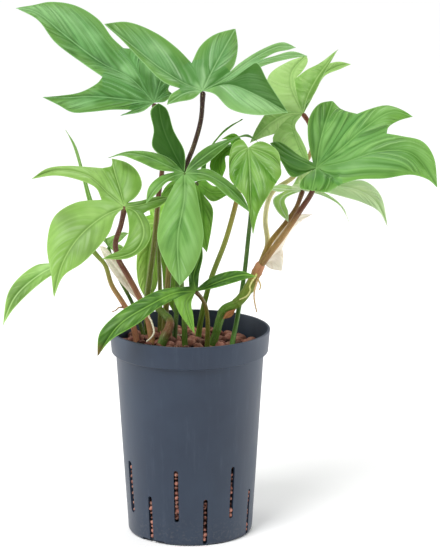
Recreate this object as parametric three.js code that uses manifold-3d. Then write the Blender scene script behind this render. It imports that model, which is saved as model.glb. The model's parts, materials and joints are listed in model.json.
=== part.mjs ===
// A potted philodendron with lobed leaves, in a tall slotted culture pot.
// Millimetres, +Z up, origin at the middle of the pot's underside, the plant's best side facing -Y.

import * as THREE from "three";
import { mergeVertices } from "three/addons/utils/BufferGeometryUtils.js";
import Module from "manifold-3d";

const wasm = await Module();
wasm.setup();

// Driving dimensions of the pot
const RIM_RADIUS = 74;
const POT_HEIGHT = 192;
const FOOT_RADIUS = 57.5;
const SHOULDER_RADIUS = 68.2;
const COLLAR_HEIGHT = 21;
const COLLAR_DRAFT = 1.8;
const COLLAR_STEP = 4;
const WALL = 2.4;
const FLOOR_THICKNESS = 3;
const FOOT_ROUND = 3.5;
const LIP = 1.2;
const LIP_ROUND = 0.4;
const POT_SIDES = 56;

// Slots in the pot wall, alternating high and low
const SLOT_COUNT = 14;
const SLOT_WIDTH = 4.2;
const FIRST_SLOT_ANGLE = -63;
const HIGH_SLOT = { bottom: 23, top: 73 };
const LOW_SLOT = { bottom: 1.5, top: 45 };
const FOOT_NOTCH_COUNT = 3;
const FOOT_NOTCH_START = -49;
const FOOT_NOTCH_SWEEP = 25;
const FOOT_NOTCH_HEIGHT = 2.8;
const FOOT_NOTCH_DEPTH = 5;

// Pebble bed
const BED_TOP = 174;
const BED_MOUND = 7;
const BED_MOUND_CENTRE = { x: -24, y: 0 };
const BED_MOUND_RADIUS = 50;
const MOUND_RINGS = 4;
const MOUND_SIDES = 14;
const BED_SIDES = 28;
const PEBBLE_COUNT = 56;
const PEBBLE_SMALL = 5.4;
const PEBBLE_LARGE = 8.2;
const PEBBLE_SINK = 0.45;
const PEBBLE_STRETCH = { x: 0.25, y: 0.2, z: 0.12 };
const PEBBLE_FLATNESS = { x: 1, y: 0.9, z: 0.78 };
const PEBBLE_TILT = 0.7;
const GOLDEN_ANGLE = 2.39996;

// Plant
const BLADE_THICKNESS = 0.7;
const BLADE_ARCH = 0.1;
const ROW_STEP = 10;
const BLADE_COLUMNS = 2;
const FEWEST_ROWS = 4;
const WEB_FOLLOW = 0.35;
const SHEET_THICKNESS = 0.7;
const SHEET_ROW_STEP = 7;
const STALK_SIDES = 8;
const STALK_STEP = 14;
const ROOT_SIDES = 6;
const ROOT_STEP = 5;
const CLEARANCE = 0.3;

const COLOURS = {
  pot: { color: 0x465060, roughness: 0.45 },
  pebbles: { color: 0xa0644c, roughness: 0.9 },
  mid: { color: 0x5b9a4a, roughness: 0.45 },
  dark: { color: 0x3f7d38, roughness: 0.4 },
  fresh: { color: 0x7fb648, roughness: 0.45 },
  pale: { color: 0xa3c56e, roughness: 0.5 },
  red: { color: 0x7a3f2e, roughness: 0.5 },
  dark_brown: { color: 0x3d211c, roughness: 0.45 },
  golden: { color: 0xb08a3e, roughness: 0.5 },
  olive: { color: 0x8c8436, roughness: 0.5 },
  green: { color: 0x4c7432, roughness: 0.5 },
  stem: { color: 0x587a2e, roughness: 0.55 },
  paper: { color: 0xe2d3b4, roughness: 0.8 },
  root: { color: 0xd9cfa0, roughness: 0.7 },
};

// Each leaf: the hub where the stalk meets the blade, its lobes in clockwise order seen on the
// upper face, and the sinus between each lobe and the next. A lobe has a rib from the hub to
// its tip, and the points that its left and right margins pass through on the way to the tip.
const LEAVES = [
  {
    name: "leaf_top_left",
    green: "mid",
    hub: [-33, 48, 394],
    lobes: [
      {
        rib: [[-47, 34, 390], [-63, 20, 387]],
        left: [[-44, 28, 389]],
        right: [[-53, 30, 390]],
      },
      {
        rib: [[-59, 36, 399], [-91, 28, 403], [-114, 22, 403], [-134, 18, 404]],
        left: [[-71, 26, 391], [-91, 20, 390], [-107, 18, 390], [-120, 18, 397]],
        right: [[-85, 34, 414], [-100, 27, 407], [-118, 21, 405]],
      },
      {
        rib: [[-54, 54, 415], [-82, 64, 428], [-116, 76, 452], [-144, 86, 473], [-162, 90, 476]],
        left: [[-98, 60, 428], [-125, 70, 447], [-141, 80, 466]],
        right: [[-72, 76, 450], [-85, 84, 466], [-107, 92, 478], [-130, 94, 481], [-147, 92, 478]],
      },
      {
        rib: [[-26, 68, 414], [-19, 84, 428], [-13, 94, 436]],
        left: [[-48, 80, 439], [-30, 92, 441]],
        right: [[-9, 76, 418]],
      },
      {
        rib: [[-25, 52, 398], [-16, 54, 401]],
        left: [[-20, 58, 404]],
        right: [[-23, 48, 395]],
      },
    ],
    sinuses: [[-55, 32, 390], [-80, 42, 419], [-62, 78, 440], [-19, 66, 407]],
  },
  {
    name: "leaf_top",
    green: "mid",
    hub: [12, 0, 413],
    lobes: [
      {
        rib: [[-3, -12, 413], [-20, -22, 404]],
        left: [[3, -16, 408], [-10, -20, 406]],
        right: [[-17, -14, 411]],
      },
      {
        rib: [[-5, 4, 419], [-27, 10, 432], [-54, 16, 453], [-77, 20, 471]],
        left: [[-23, -2, 421], [-42, 6, 438], [-61, 14, 457]],
        right: [[-12, 22, 449], [-31, 26, 462], [-56, 24, 472]],
      },
      {
        rib: [[19, 10, 426], [30, 28, 444], [42, 46, 463]],
        left: [[10, 32, 449], [23, 42, 458]],
        right: [[41, 26, 433], [44, 38, 447]],
      },
      {
        rib: [[30, 8, 421], [60, 22, 440], [82, 30, 449], [97, 30, 448]],
        left: [[46, 20, 435], [66, 30, 446], [85, 34, 452]],
        right: [[79, 26, 444], [90, 28, 446]],
      },
      {
        rib: [[37, 2, 422], [66, 10, 438], [87, 14, 443], [107, 12, 443]],
        left: [[78, 18, 442], [93, 18, 446]],
        right: [[68, 6, 435], [88, 10, 440]],
      },
      {
        rib: [[35, -20, 422], [62, -42, 415], [88, -58, 403]],
        left: [[55, -22, 439], [61, -28, 443], [70, -42, 429]],
        right: [[24, -30, 414], [37, -46, 404], [61, -60, 401]],
      },
    ],
    sinuses: [[-8, -6, 416], [2, 20, 435], [36, 14, 427], [63, 18, 437], [37, -6, 422]],
  },
  {
    name: "leaf_pale",
    green: "pale",
    hub: [105, 60, 382],
    lobes: [
      {
        rib: [[95, 50, 376], [98, 40, 362], [110, 28, 337]],
        left: [[97, 46, 372], [102, 40, 363], [108, 34, 350]],
        right: [[76, 30, 362], [87, 24, 347]],
      },
      {
        rib: [[91, 52, 383], [74, 40, 376], [55, 22, 361]],
        left: [[80, 38, 368], [67, 28, 365]],
        right: [[72, 46, 386], [62, 34, 374]],
      },
      {
        rib: [[99, 70, 393], [94, 82, 406], [96, 94, 417], [109, 106, 429]],
        left: [[72, 70, 395], [73, 84, 413], [91, 98, 424]],
        right: [[105, 94, 416], [110, 102, 424]],
      },
      {
        rib: [[109, 69, 396], [117, 78, 410], [127, 86, 423], [138, 92, 437]],
        left: [[108, 86, 418], [121, 90, 424]],
        right: [[114, 71, 396], [122, 81, 410], [127, 86, 419]],
      },
      {
        rib: [[110, 86, 391], [117, 99, 402], [127, 107, 412], [140, 111, 418], [151, 112, 420]],
        left: [[106, 90, 394], [114, 104, 408], [127, 110, 419], [139, 113, 422]],
        right: [[113, 82, 391], [120, 95, 403], [127, 103, 411], [141, 108, 416]],
      },
    ],
    sinuses: [[84, 44, 374], [82, 58, 385], [97, 86, 409], [107, 71, 389]],
  },
  {
    name: "leaf_right",
    green: "mid",
    hub: [115, -10, 344],
    lobes: [
      {
        rib: [[103, -14, 350], [88, -18, 358], [73, -16, 368]],
        left: [[104, -22, 341], [92, -32, 340], [83, -28, 353]],
        right: [[100, -6, 354], [90, -6, 362], [81, -10, 368]],
      },
      {
        rib: [[118, 8, 359], [124, 34, 376], [132, 58, 394]],
        left: [[108, 14, 367], [110, 38, 382], [120, 54, 392]],
        right: [[139, 54, 387]],
      },
      {
        rib: [[137, 4, 358], [160, 20, 375], [186, 34, 388], [205, 36, 383]],
        left: [[166, 42, 389], [181, 44, 392], [194, 40, 389]],
        right: [[182, 26, 375], [192, 32, 380]],
      },
      {
        rib: [[141, -14, 350], [171, -6, 358], [202, 0, 355], [225, -10, 326]],
        left: [[194, 12, 369], [212, 8, 365], [222, 0, 352]],
        right: [[151, -40, 339], [176, -30, 338], [201, -18, 339], [216, -14, 334]],
      },
      {
        rib: [[113, -32, 339], [110, -44, 330]],
        left: [[123, -48, 329]],
        right: [[101, -30, 336], [100, -40, 331]],
      },
    ],
    sinuses: [[112, -7, 348], [154, 44, 384], [180, 20, 370], [136, -46, 336]],
  },
  {
    name: "leaf_under_right",
    green: "pale",
    hub: [104, 16, 318],
    lobes: [
      {
        rib: [[90, 8, 317], [82, 0, 311], [90, -10, 294]],
        left: [[87, 2, 312], [90, -6, 302]],
        right: [[76, -2, 313], [80, -8, 303]],
      },
      {
        rib: [[90, 10, 320], [71, -4, 324]],
        left: [[82, 2, 319]],
        right: [[83, 8, 325]],
      },
      {
        rib: [[111, 40, 325], [119, 56, 334]],
        left: [[104, 48, 329]],
        right: [[122, 46, 326]],
      },
      {
        rib: [[127, 26, 319], [150, 34, 316], [170, 36, 305], [183, 30, 281]],
        left: [[143, 38, 322], [162, 44, 321], [176, 42, 309]],
        right: [[142, 24, 310], [159, 28, 304], [174, 28, 296]],
      },
      {
        rib: [[121, 10, 316], [136, 8, 309], [142, 6, 301], [146, 4, 291]],
        left: [[130, 16, 313], [142, 10, 304]],
        right: [[123, 6, 314], [137, 4, 305]],
      },
    ],
    sinuses: [[87, 8, 319], [94, 20, 321], [116, 34, 322], [120, 18, 317]],
  },
  {
    name: "leaf_heart",
    green: "mid",
    hub: [53, -45, 369],
    lobes: [
      {
        rib: [[65, -48, 366], [76, -54, 361], [82, -60, 353]],
        left: [[63, -42, 374], [72, -46, 372], [80, -54, 366]],
        right: [[82, -64, 348]],
      },
      {
        rib: [[54, -58, 351], [55, -74, 324], [57, -84, 298]],
        left: [[72, -76, 334], [62, -80, 317]],
        right: [[49, -72, 330], [53, -76, 320]],
      },
      {
        rib: [[45, -46, 365], [38, -50, 357], [36, -56, 348]],
        left: [[37, -60, 343]],
        right: [[47, -38, 375], [40, -40, 372], [36, -48, 361]],
      },
    ],
    sinuses: [[78, -68, 342], [41, -64, 338]],
  },
  {
    name: "leaf_star",
    green: "dark",
    hub: [-4, -35, 344],
    lobes: [
      {
        rib: [[10, -30, 355], [24, -22, 364], [40, -12, 371], [53, -7, 373], [62, -8, 368]],
        left: [[4, -26, 356], [15, -18, 364], [28, -10, 368], [42, -8, 373], [54, -6, 374]],
        right: [[17, -32, 353], [29, -24, 362], [42, -13, 370], [53, -8, 372]],
      },
      {
        rib: [[14, -42, 344], [32, -50, 336], [46, -56, 324], [55, -60, 313]],
        left: [[16, -36, 348], [30, -42, 342], [46, -50, 329]],
        right: [[17, -50, 340], [32, -60, 330], [47, -62, 319]],
      },
      {
        rib: [[-4, -54, 325], [-10, -68, 291], [-8, -74, 249]],
        left: [[10, -56, 313], [13, -64, 291], [5, -70, 265]],
        right: [[-24, -56, 313], [-28, -64, 289], [-19, -70, 265]],
      },
      {
        rib: [[-17, -46, 342], [-29, -56, 334], [-38, -64, 322]],
        left: [[-19, -50, 339], [-28, -60, 331]],
        right: [[-26, -42, 342], [-36, -54, 334]],
      },
      {
        rib: [[-19, -38, 351], [-37, -42, 360], [-54, -46, 364], [-72, -50, 361]],
        left: [[-28, -46, 349], [-44, -50, 357], [-61, -50, 363]],
        right: [[-19, -30, 357], [-35, -34, 363], [-54, -42, 365]],
      },
      {
        rib: [[-15, -22, 363], [-24, -8, 382], [-28, 4, 401]],
        left: [[-33, -18, 364], [-32, -8, 378], [-35, 2, 395]],
        right: [[-4, -24, 361], [-14, -10, 378], [-21, 4, 396]],
      },
    ],
    sinuses: [[6, -37, 347], [5, -44, 338], [-12, -44, 338], [-13, -40, 346], [-9, -33, 349]],
  },
  {
    name: "leaf_behind_star",
    green: "mid",
    hub: [7, -8, 330],
    lobes: [
      {
        rib: [[12, 1, 344], [20, 9, 361], [33, 14, 375], [49, 13, 385]],
        left: [[8, -1, 342], [14, 6, 353], [18, 9, 362], [25, 12, 370], [36, 14, 378]],
        right: [[18, 5, 352], [29, 11, 367], [37, 12, 375]],
      },
      {
        rib: [[20, -4, 320], [35, 4, 320], [48, 10, 325]],
        left: [[22, 0, 325], [37, 6, 325]],
        right: [[21, -6, 312], [33, 0, 316]],
      },
      {
        rib: [[11, -14, 309], [12, -18, 288], [16, -22, 268]],
        left: [[21, -12, 307], [20, -16, 289], [18, -20, 278]],
        right: [[-1, -14, 306], [2, -20, 287]],
      },
      {
        rib: [[-6, -12, 330], [-17, -16, 326], [-27, -20, 316]],
        left: [[-12, -16, 324], [-20, -20, 319]],
        right: [[-12, -10, 333], [-22, -16, 327]],
      },
    ],
    sinuses: [[14, -4, 332], [12, -10, 320], [-3, -14, 324]],
  },
  {
    name: "leaf_behind_heart",
    green: "dark",
    hub: [50, -8, 355],
    lobes: [
      {
        rib: [[57, -16, 338], [60, -24, 312]],
        left: [[66, -16, 332]],
        right: [[48, -16, 329]],
      },
      {
        rib: [[40, -10, 363], [30, -14, 358], [27, -18, 348], [30, -22, 338]],
        left: [[33, -16, 356], [33, -20, 346]],
        right: [[30, -10, 363], [21, -14, 355], [19, -18, 344]],
      },
      {
        rib: [[44, -1, 364], [39, 3, 370], [29, 4, 368]],
        left: [[35, 1, 368]],
        right: [[41, 4, 373]],
      },
      {
        rib: [[62, -4, 357], [75, -4, 352]],
        left: [[62, -2, 362]],
        right: [[66, -10, 346]],
      },
    ],
    sinuses: [[44, -12, 352], [38, -4, 365], [53, -2, 360]],
  },
  {
    name: "leaf_left",
    green: "fresh",
    hub: [-58, -30, 312],
    lobes: [
      {
        rib: [[-77, -44, 306], [-99, -58, 289], [-113, -66, 267], [-121, -68, 237]],
        left: [[-66, -42, 306], [-72, -54, 292], [-94, -66, 269], [-112, -70, 257]],
        right: [[-102, -36, 317], [-121, -46, 306], [-127, -56, 282], [-123, -64, 256]],
      },
      {
        rib: [[-73, -20, 322], [-92, -16, 338], [-119, -18, 343], [-142, -26, 337]],
        left: [[-84, -24, 328], [-98, -24, 335], [-120, -26, 340]],
        right: [[-94, -6, 344], [-112, -12, 346], [-129, -20, 345]],
      },
      {
        rib: [[-63, -16, 325], [-68, -4, 338], [-71, 4, 350]],
        left: [[-70, 2, 344]],
        right: [[-49, -24, 319], [-43, -14, 328], [-47, -4, 339], [-57, 4, 346]],
      },
      {
        rib: [[-44, -32, 314], [-31, -28, 317], [-17, -24, 320]],
        left: [[-44, -28, 317], [-31, -25, 320]],
        right: [[-37, -38, 310], [-26, -32, 313]],
      },
      {
        rib: [[-47, -46, 310], [-40, -60, 295], [-47, -72, 281], [-63, -78, 276], [-77, -80, 275]],
        left: [[-36, -50, 302], [-34, -60, 292], [-40, -70, 282], [-54, -78, 275]],
        right: [[-55, -42, 306], [-54, -56, 293], [-60, -68, 281], [-70, -76, 278]],
      },
    ],
    sinuses: [[-79, -28, 318], [-79, -2, 342], [-56, -27, 315], [-41, -40, 308]],
  },
  {
    name: "leaf_far_left",
    green: "fresh",
    hub: [-90, 5, 264],
    lobes: [
      {
        rib: [[-111, -6, 257], [-136, -24, 248], [-158, -38, 230], [-169, -44, 205]],
        left: [[-118, -14, 250], [-137, -32, 240], [-159, -42, 220]],
        right: [[-122, 0, 254], [-141, -15, 254], [-163, -34, 236]],
      },
      {
        rib: [[-99, 16, 273], [-107, 24, 287]],
        left: [[-106, 14, 276]],
        right: [[-98, 22, 283]],
      },
      {
        rib: [[-87, 17, 271], [-83, 26, 284]],
        left: [[-92, 22, 280]],
        right: [[-80, 19, 276]],
      },
    ],
    sinuses: [[-101, 6, 264], [-94, 18, 273]],
  },
  {
    name: "leaf_slender",
    green: "pale",
    hub: [-76, 34, 261],
    lobes: [
      {
        rib: [[-87, 36, 284], [-92, 38, 304], [-100, 42, 332], [-107, 46, 357], [-115, 48, 369]],
        left: [[-84, 35, 270], [-94, 38, 301], [-102, 42, 330], [-108, 46, 354]],
        right: [[-91, 40, 306], [-98, 44, 333], [-105, 47, 355]],
      },
      {
        rib: [[-67, 38, 269], [-57, 40, 273]],
        left: [[-71, 42, 270], [-63, 42, 273]],
        right: [[-65, 34, 266]],
      },
      {
        rib: [[-67, 28, 261], [-58, 24, 260]],
        left: [[-65, 26, 265]],
        right: [[-66, 24, 257]],
      },
    ],
    sinuses: [[-78, 38, 268], [-72, 32, 262]],
  },
  {
    name: "leaf_low",
    green: "dark",
    hub: [6, -52, 239],
    lobes: [
      {
        rib: [[-3, -60, 230], [0, -66, 218], [5, -70, 204]],
        left: [[2, -58, 230], [4, -66, 218]],
        right: [[-8, -66, 221]],
      },
      {
        rib: [[-12, -58, 239], [-35, -68, 230], [-62, -76, 214], [-82, -80, 186]],
        left: [[-28, -68, 227], [-46, -78, 215], [-70, -82, 201]],
        right: [[-26, -56, 241], [-46, -64, 233], [-67, -70, 220], [-80, -76, 206]],
      },
      {
        rib: [[4, -48, 253], [8, -44, 264], [12, -40, 278]],
        left: [[0, -46, 253], [5, -43, 264]],
        right: [[9, -47, 254], [12, -42, 267]],
      },
      {
        rib: [[15, -48, 242], [35, -44, 249], [49, -42, 252], [61, -40, 250]],
        left: [[18, -45, 249], [32, -41, 254], [46, -40, 255]],
        right: [[21, -50, 241], [39, -46, 245], [51, -42, 248]],
      },
    ],
    sinuses: [[-14, -60, 233], [0, -50, 243], [8, -50, 242]],
  },
  {
    name: "leaf_back",
    green: "pale",
    hub: [-30, 40, 283],
    lobes: [
      {
        rib: [[-37, 42, 261], [-40, 46, 236], [-41, 48, 207]],
        left: [[-30, 42, 239], [-32, 46, 219]],
        right: [[-46, 42, 266], [-50, 46, 244], [-48, 50, 221]],
      },
      {
        rib: [[-47, 50, 277], [-58, 54, 268]],
        left: [[-50, 48, 268]],
        right: [[-49, 52, 283]],
      },
      {
        rib: [[-28, 62, 295], [-24, 72, 307]],
        left: [[-38, 64, 294]],
        right: [[-19, 64, 299]],
      },
      {
        rib: [[-22, 42, 258], [-17, 46, 225], [-15, 48, 194]],
        left: [[-9, 44, 265], [-7, 46, 236]],
        right: [[-26, 44, 235], [-24, 46, 212]],
      },
    ],
    sinuses: [[-41, 46, 267], [-37, 54, 287], [-17, 52, 283]],
  },
];

// Papery sheaths left by older leaves, drawn like a leaf
const SHEATHS = [
  {
    name: "cataphyll_right",
    hub: [68, 5, 252],
    lobes: [
      {
        rib: [[78, 5, 269], [89, 6, 285], [99, 8, 293], [113, 10, 297]],
        left: [[75.5, 4.5, 269], [86.5, 5.5, 285], [98.5, 8, 296]],
        right: [[85.5, 8, 273], [94, 9, 284], [105, 10, 292.5]],
      },
      {
        rib: [[76.5, 8, 253.5], [84.5, 6, 244.5]],
        left: [[83, 9, 258]],
        right: [[73.5, 6, 247]],
      },
    ],
    sinuses: [[81, 8.5, 262.5]],
  },
  {
    name: "cataphyll_left",
    hub: [-42.5, -10, 216],
    lobes: [
      {
        rib: [[-56.5, -9, 235.5], [-70, -8, 254], [-82.5, -6, 270.5]],
        left: [[-59, -9, 232], [-73.5, -8, 251.5]],
        right: [[-53, -9, 238.5], [-66.5, -8, 256.5], [-77, -6, 269.5]],
      },
    ],
    sinuses: [],
  },
  {
    name: "sheath_scrap",
    hub: [42.5, -5.5, 211.5],
    lobes: [
      {
        rib: [[36, -9, 207.5], [30.5, -14, 204]],
        left: [[38, -10, 205]],
        right: [[33.5, -11, 209.5]],
      },
    ],
    sinuses: [],
  },
];

// Leaf stalks, from under the blade down to the bed or to the stem that carries them
const PETIOLES = [
  {
    name: "petiole_top_left",
    leaf: "leaf_top_left",
    colour: "red",
    radii: [2.1, 2.9],
    line: [[-32.5, 48, 392.5], [-28.5, 38, 365.5], [-25.5, 31, 336], [-29, 28, 309.5],
      [-32.5, 26, 269], [-37, 24, 236.5], [-40, 24, 212.5], [-40, 26, 178], [-40, 26, 170]],
  },
  {
    name: "petiole_top",
    leaf: "leaf_top",
    colour: "dark_brown",
    radii: [2.1, 2.9],
    line: [[12.5, 0, 412], [10.5, -1, 386.5], [4, -4, 363], [-3, -6, 345], [-11.5, -3, 313],
      [-17, 1, 274.5], [-20, 5, 236], [-24, 9, 178], [-24, 9, 170]],
  },
  {
    name: "petiole_pale",
    leaf: "leaf_pale",
    colour: "golden",
    radii: [1.9, 2.6],
    line: [[105, 60, 381.5], [109.5, 56, 372.5], [108, 46, 350], [92.5, 36, 327.5], [75.5, 28, 313],
      [69.5, 22, 291], [71.5, 17, 267.5], [66.5, 15, 251], [61, 9, 240], [57, 4, 234.5]],
  },
  {
    name: "petiole_right",
    leaf: "leaf_right",
    colour: "red",
    radii: [2.4, 3],
    line: [[114.5, -10, 342], [112, -8, 323], [100.5, -5, 303], [86, -2, 280], [71.5, 0, 260],
      [64, 3, 249]],
  },
  {
    name: "petiole_under_right",
    leaf: "leaf_under_right",
    colour: "golden",
    radii: [2, 2.6],
    line: [[104, 16, 317.5], [97.5, 13, 302], [86.5, 11, 286.5], [73.5, 9, 270], [65.5, 7, 251.5]],
  },
  {
    name: "petiole_heart",
    leaf: "leaf_heart",
    colour: "olive",
    radii: [2.2, 2.6],
    line: [[53, -45, 368.5], [48.5, -26, 340.5], [43, -22, 316.5], [33, -14, 278], [20.5, -4, 242],
      [13, 6, 212.5], [7.5, 16, 178], [7.5, 16, 170]],
  },
  {
    name: "petiole_behind_heart",
    leaf: "leaf_behind_heart",
    colour: "green",
    radii: [1.8, 2.3],
    line: [[50.5, -7, 353.5], [57, -2, 326.5], [56, 2, 300.5], [53.5, 6, 273.5], [50.5, 9, 243.5],
      [46.5, 11, 216], [42.5, 4, 194], [39, -8, 178], [39, -8, 170]],
  },
  {
    name: "petiole_behind_star",
    leaf: "leaf_behind_star",
    colour: "red",
    radii: [1.8, 2.4],
    line: [[6.5, -6, 329], [1.5, 0, 307.5], [-6, 6, 273.5], [-11, 4, 231.5], [-12.5, 0, 204.5],
      [-14.5, -6, 178], [-14.5, -6, 170]],
  },
  {
    name: "petiole_star",
    leaf: "leaf_star",
    colour: "green",
    radii: [2, 2.6],
    line: [[-4, -35, 344.5], [-6.5, -27, 317.5], [-8.5, -24, 280], [-7.5, -21, 242], [-5, -19, 209],
      [-4.5, -18, 178], [-4.5, -18, 170]],
  },
  {
    name: "petiole_left",
    leaf: "leaf_left",
    colour: "red",
    radii: [2.3, 3],
    line: [[-57, -29, 310.5], [-62, -25, 293.5], [-67, -22, 277], [-65, -20, 262.5], [-56, -17, 245],
      [-45.5, -14, 223.5], [-39, -12, 206.5], [-34.5, -10, 178], [-34.5, -10, 170]],
  },
  {
    name: "petiole_far_left",
    leaf: "leaf_far_left",
    colour: "golden",
    radii: [1.9, 2.9],
    line: [[-89, 5, 263.5], [-84, 3, 258.5], [-77.5, 0, 251.5], [-71.5, -2, 233], [-62, -3, 217.5],
      [-55, -4, 205], [-48.5, -6, 178], [-48.5, -6, 170]],
  },
  {
    name: "petiole_slender",
    leaf: "leaf_slender",
    colour: "green",
    radii: [1.5, 2],
    line: [[-75.5, 32, 260.5], [-71, 24, 247], [-64.5, 17, 233.5], [-52.5, 10, 211.5], [-41.5, 6, 178],
      [-41.5, 6, 170]],
  },
  {
    name: "petiole_low",
    leaf: "leaf_low",
    colour: "olive",
    radii: [1.7, 2.3],
    line: [[6, -51, 238], [9.5, -47, 233.5], [14, -42, 225], [16.5, -34, 208], [16, -28, 178],
      [16, -28, 170]],
  },
  {
    name: "petiole_back",
    leaf: "leaf_back",
    colour: "olive",
    radii: [1.7, 2.3],
    line: [[-29.5, 39, 282], [-29, 33, 263], [-28, 30, 225.5], [-28, 28, 178], [-28, 28, 170]],
  },
];

// Creeping stems, from inside the bed to their cut or growing end
const STEMS = [
  {
    name: "stem_right",
    radii: [4.3, 3.6, 4.4, 4.9, 4.6],
    line: [[20.5, -14, 168], [20.5, -14, 178], [24.5, -12, 191], [27.5, -8, 201.5], [31.5, -4, 210],
      [42.5, 0, 215], [52.5, 1.5, 226.5], [59.5, 2.5, 239.5], [64.5, 3, 250]],
  },
  {
    name: "stem_middle",
    radii: [4.6, 4.2, 3.4],
    line: [[-26, -22, 168], [-26, -22, 178], [-23.5, -21, 187.5], [-19.5, -17, 194.5],
      [-18, -11, 200.5], [-22.5, -4, 205], [-29.5, 2, 210.5]],
  },
];

// Roots in the open, from what they grow on to their tip
const ROOTS = [
  {
    name: "root_yellow",
    radii: [0.9, 0.8, 0.6],
    line: [[62, 0, 245], [60, -4, 241], [57, -5.5, 237], [55, -6.5, 232.5], [55.5, -7, 229.5],
      [52.5, -7, 224], [46, -6.5, 220.5]],
  },
  {
    name: "root_tan",
    radii: [0.9, 0.8, 0.6],
    line: [[61, 0.5, 240], [61.5, -4, 236.5], [59.5, -7, 229.5], [59, -8, 223], [60, -9, 216],
      [61.5, -9, 209.5]],
  },
  {
    name: "root_hook",
    radii: [0.9, 0.8, 0.6],
    line: [[61, 0, 241], [63.5, -3, 237], [65, -4, 232.5], [64, -4, 229]],
  },
  {
    name: "root_white",
    radii: [0.9, 0.9, 0.7],
    line: [[-38.5, -13, 209.5], [-37, -17.5, 206.5], [-35, -20, 203.5], [-32.5, -24, 194],
      [-34.5, -26, 190], [-39, -27, 186]],
  },
  {
    name: "root_lying",
    radii: [0.9, 0.8, 0.7],
    line: [[-35, 5, 183], [-26, 5.5, 182.5], [-18.5, 4, 184], [-5.5, 4, 184]],
  },
  {
    name: "root_small",
    radii: [0.9, 0.7, 0.5],
    line: [[-60, -3, 212], [-65, -7, 213], [-67.5, -8.5, 211], [-71, -9, 209.5]],
  },
];

const toVector = (point) => new THREE.Vector3(...point);

// A smooth line through hand-placed points, in steps of equal length.
function smoothLine(points, steps) {
  const curve = new THREE.CatmullRomCurve3(points, false, "centripetal");
  curve.arcLengthDivisions = 160;
  return curve.getSpacedPoints(steps);
}

function lineLength(points) {
  return new THREE.CatmullRomCurve3(points, false, "centripetal").getLength();
}

// Rows of points for half a lobe, from its rib out to its edge, bulged a little off the plane.
function halfLobeRow(rib, edge, along, side, columns) {
  const across = edge.clone().sub(rib);
  const normal = side > 0
    ? new THREE.Vector3().crossVectors(across, along)
    : new THREE.Vector3().crossVectors(along, across);
  normal.normalize();
  const width = across.length();
  const row = [];
  for (let column = 1; column <= columns; column += 1) {
    const t = column / columns;
    const bulge = BLADE_ARCH * width * 4 * t * (1 - t);
    row.push(rib.clone().addScaledVector(across, t).addScaledVector(normal, bulge));
  }
  return row;
}

// The middle surface of a blade: points and triangles that share their points.
function bladeSurface(leaf, rowStep) {
  const hub = toVector(leaf.hub);
  const sinuses = leaf.sinuses.map(toVector);
  const points = [hub];
  const faces = [];
  const addPoint = (point) => points.push(point) - 1;

  const lobes = leaf.lobes.map((lobe) => {
    const ribPoints = [hub, ...lobe.rib.map(toVector)];
    const rows = Math.max(FEWEST_ROWS, Math.round(lineLength(ribPoints) / rowStep));
    const rib = smoothLine(ribPoints, rows);
    const ids = rib.map((point, row) => (row === 0 ? 0 : addPoint(point)));
    return { rows, rib, ids, left: lobe.left.map(toVector), right: lobe.right.map(toVector) };
  });

  // The web between two lobes ends in a valley line from the hub to their sinus.
  const valleys = sinuses.map((sinus, index) => {
    const [before, after] = [lobes[index], lobes[index + 1]];
    const wanted = Math.round(sinus.distanceTo(hub) / rowStep);
    const rows = Math.max(1, Math.min(wanted, before.rows - 2, after.rows - 2));
    const line = [];
    for (let row = 0; row <= rows; row += 1) {
      const t = row / rows;
      const point = hub.clone().lerp(sinus, t);
      for (const { rib } of [before, after]) {
        const chord = rib[0].clone().lerp(rib[rows], t);
        point.addScaledVector(rib[row].clone().sub(chord), WEB_FOLLOW);
      }
      line.push(point);
    }
    return { rows, line, ids: line.map((point, row) => (row === 0 ? 0 : addPoint(point))) };
  });

  lobes.forEach((lobe, index) => {
    const tipId = lobe.ids[lobe.rows];
    const tip = lobe.rib[lobe.rows];
    for (const side of [-1, 1]) {
      const through = side < 0 ? lobe.left : lobe.right;
      const valley = valleys[side < 0 ? index - 1 : index];
      const start = valley ? valley.line[valley.rows] : hub;
      const valleyRows = valley ? valley.rows : 0;
      const margin = smoothLine([start, ...through, tip], lobe.rows - valleyRows);
      const edge = valley ? [...valley.line, ...margin.slice(1)] : margin;
      const grid = [new Array(BLADE_COLUMNS + 1).fill(0)];
      for (let row = 1; row < lobe.rows; row += 1) {
        const along = lobe.rib[row + 1].clone().sub(lobe.rib[row - 1]).normalize();
        const cells = halfLobeRow(lobe.rib[row], edge[row], along, side, BLADE_COLUMNS);
        const ids = cells.map((point, column) => {
          const onValley = column === BLADE_COLUMNS - 1 && row <= valleyRows;
          return onValley ? valley.ids[row] : addPoint(point);
        });
        grid.push([lobe.ids[row], ...ids]);
      }
      grid.push(new Array(BLADE_COLUMNS + 1).fill(tipId));
      for (let row = 0; row < lobe.rows; row += 1) {
        for (let column = 0; column < BLADE_COLUMNS; column += 1) {
          const near = grid[row][column];
          const far = grid[row][column + 1];
          const nearNext = grid[row + 1][column];
          const farNext = grid[row + 1][column + 1];
          const quad = side > 0 ? [near, far, farNext, nearNext] : [near, nearNext, farNext, far];
          for (const face of [[quad[0], quad[1], quad[2]], [quad[0], quad[2], quad[3]]]) {
            if (new Set(face).size === 3) {
              faces.push(face);
            }
          }
        }
      }
    }
  });
  return { points, faces };
}

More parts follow.
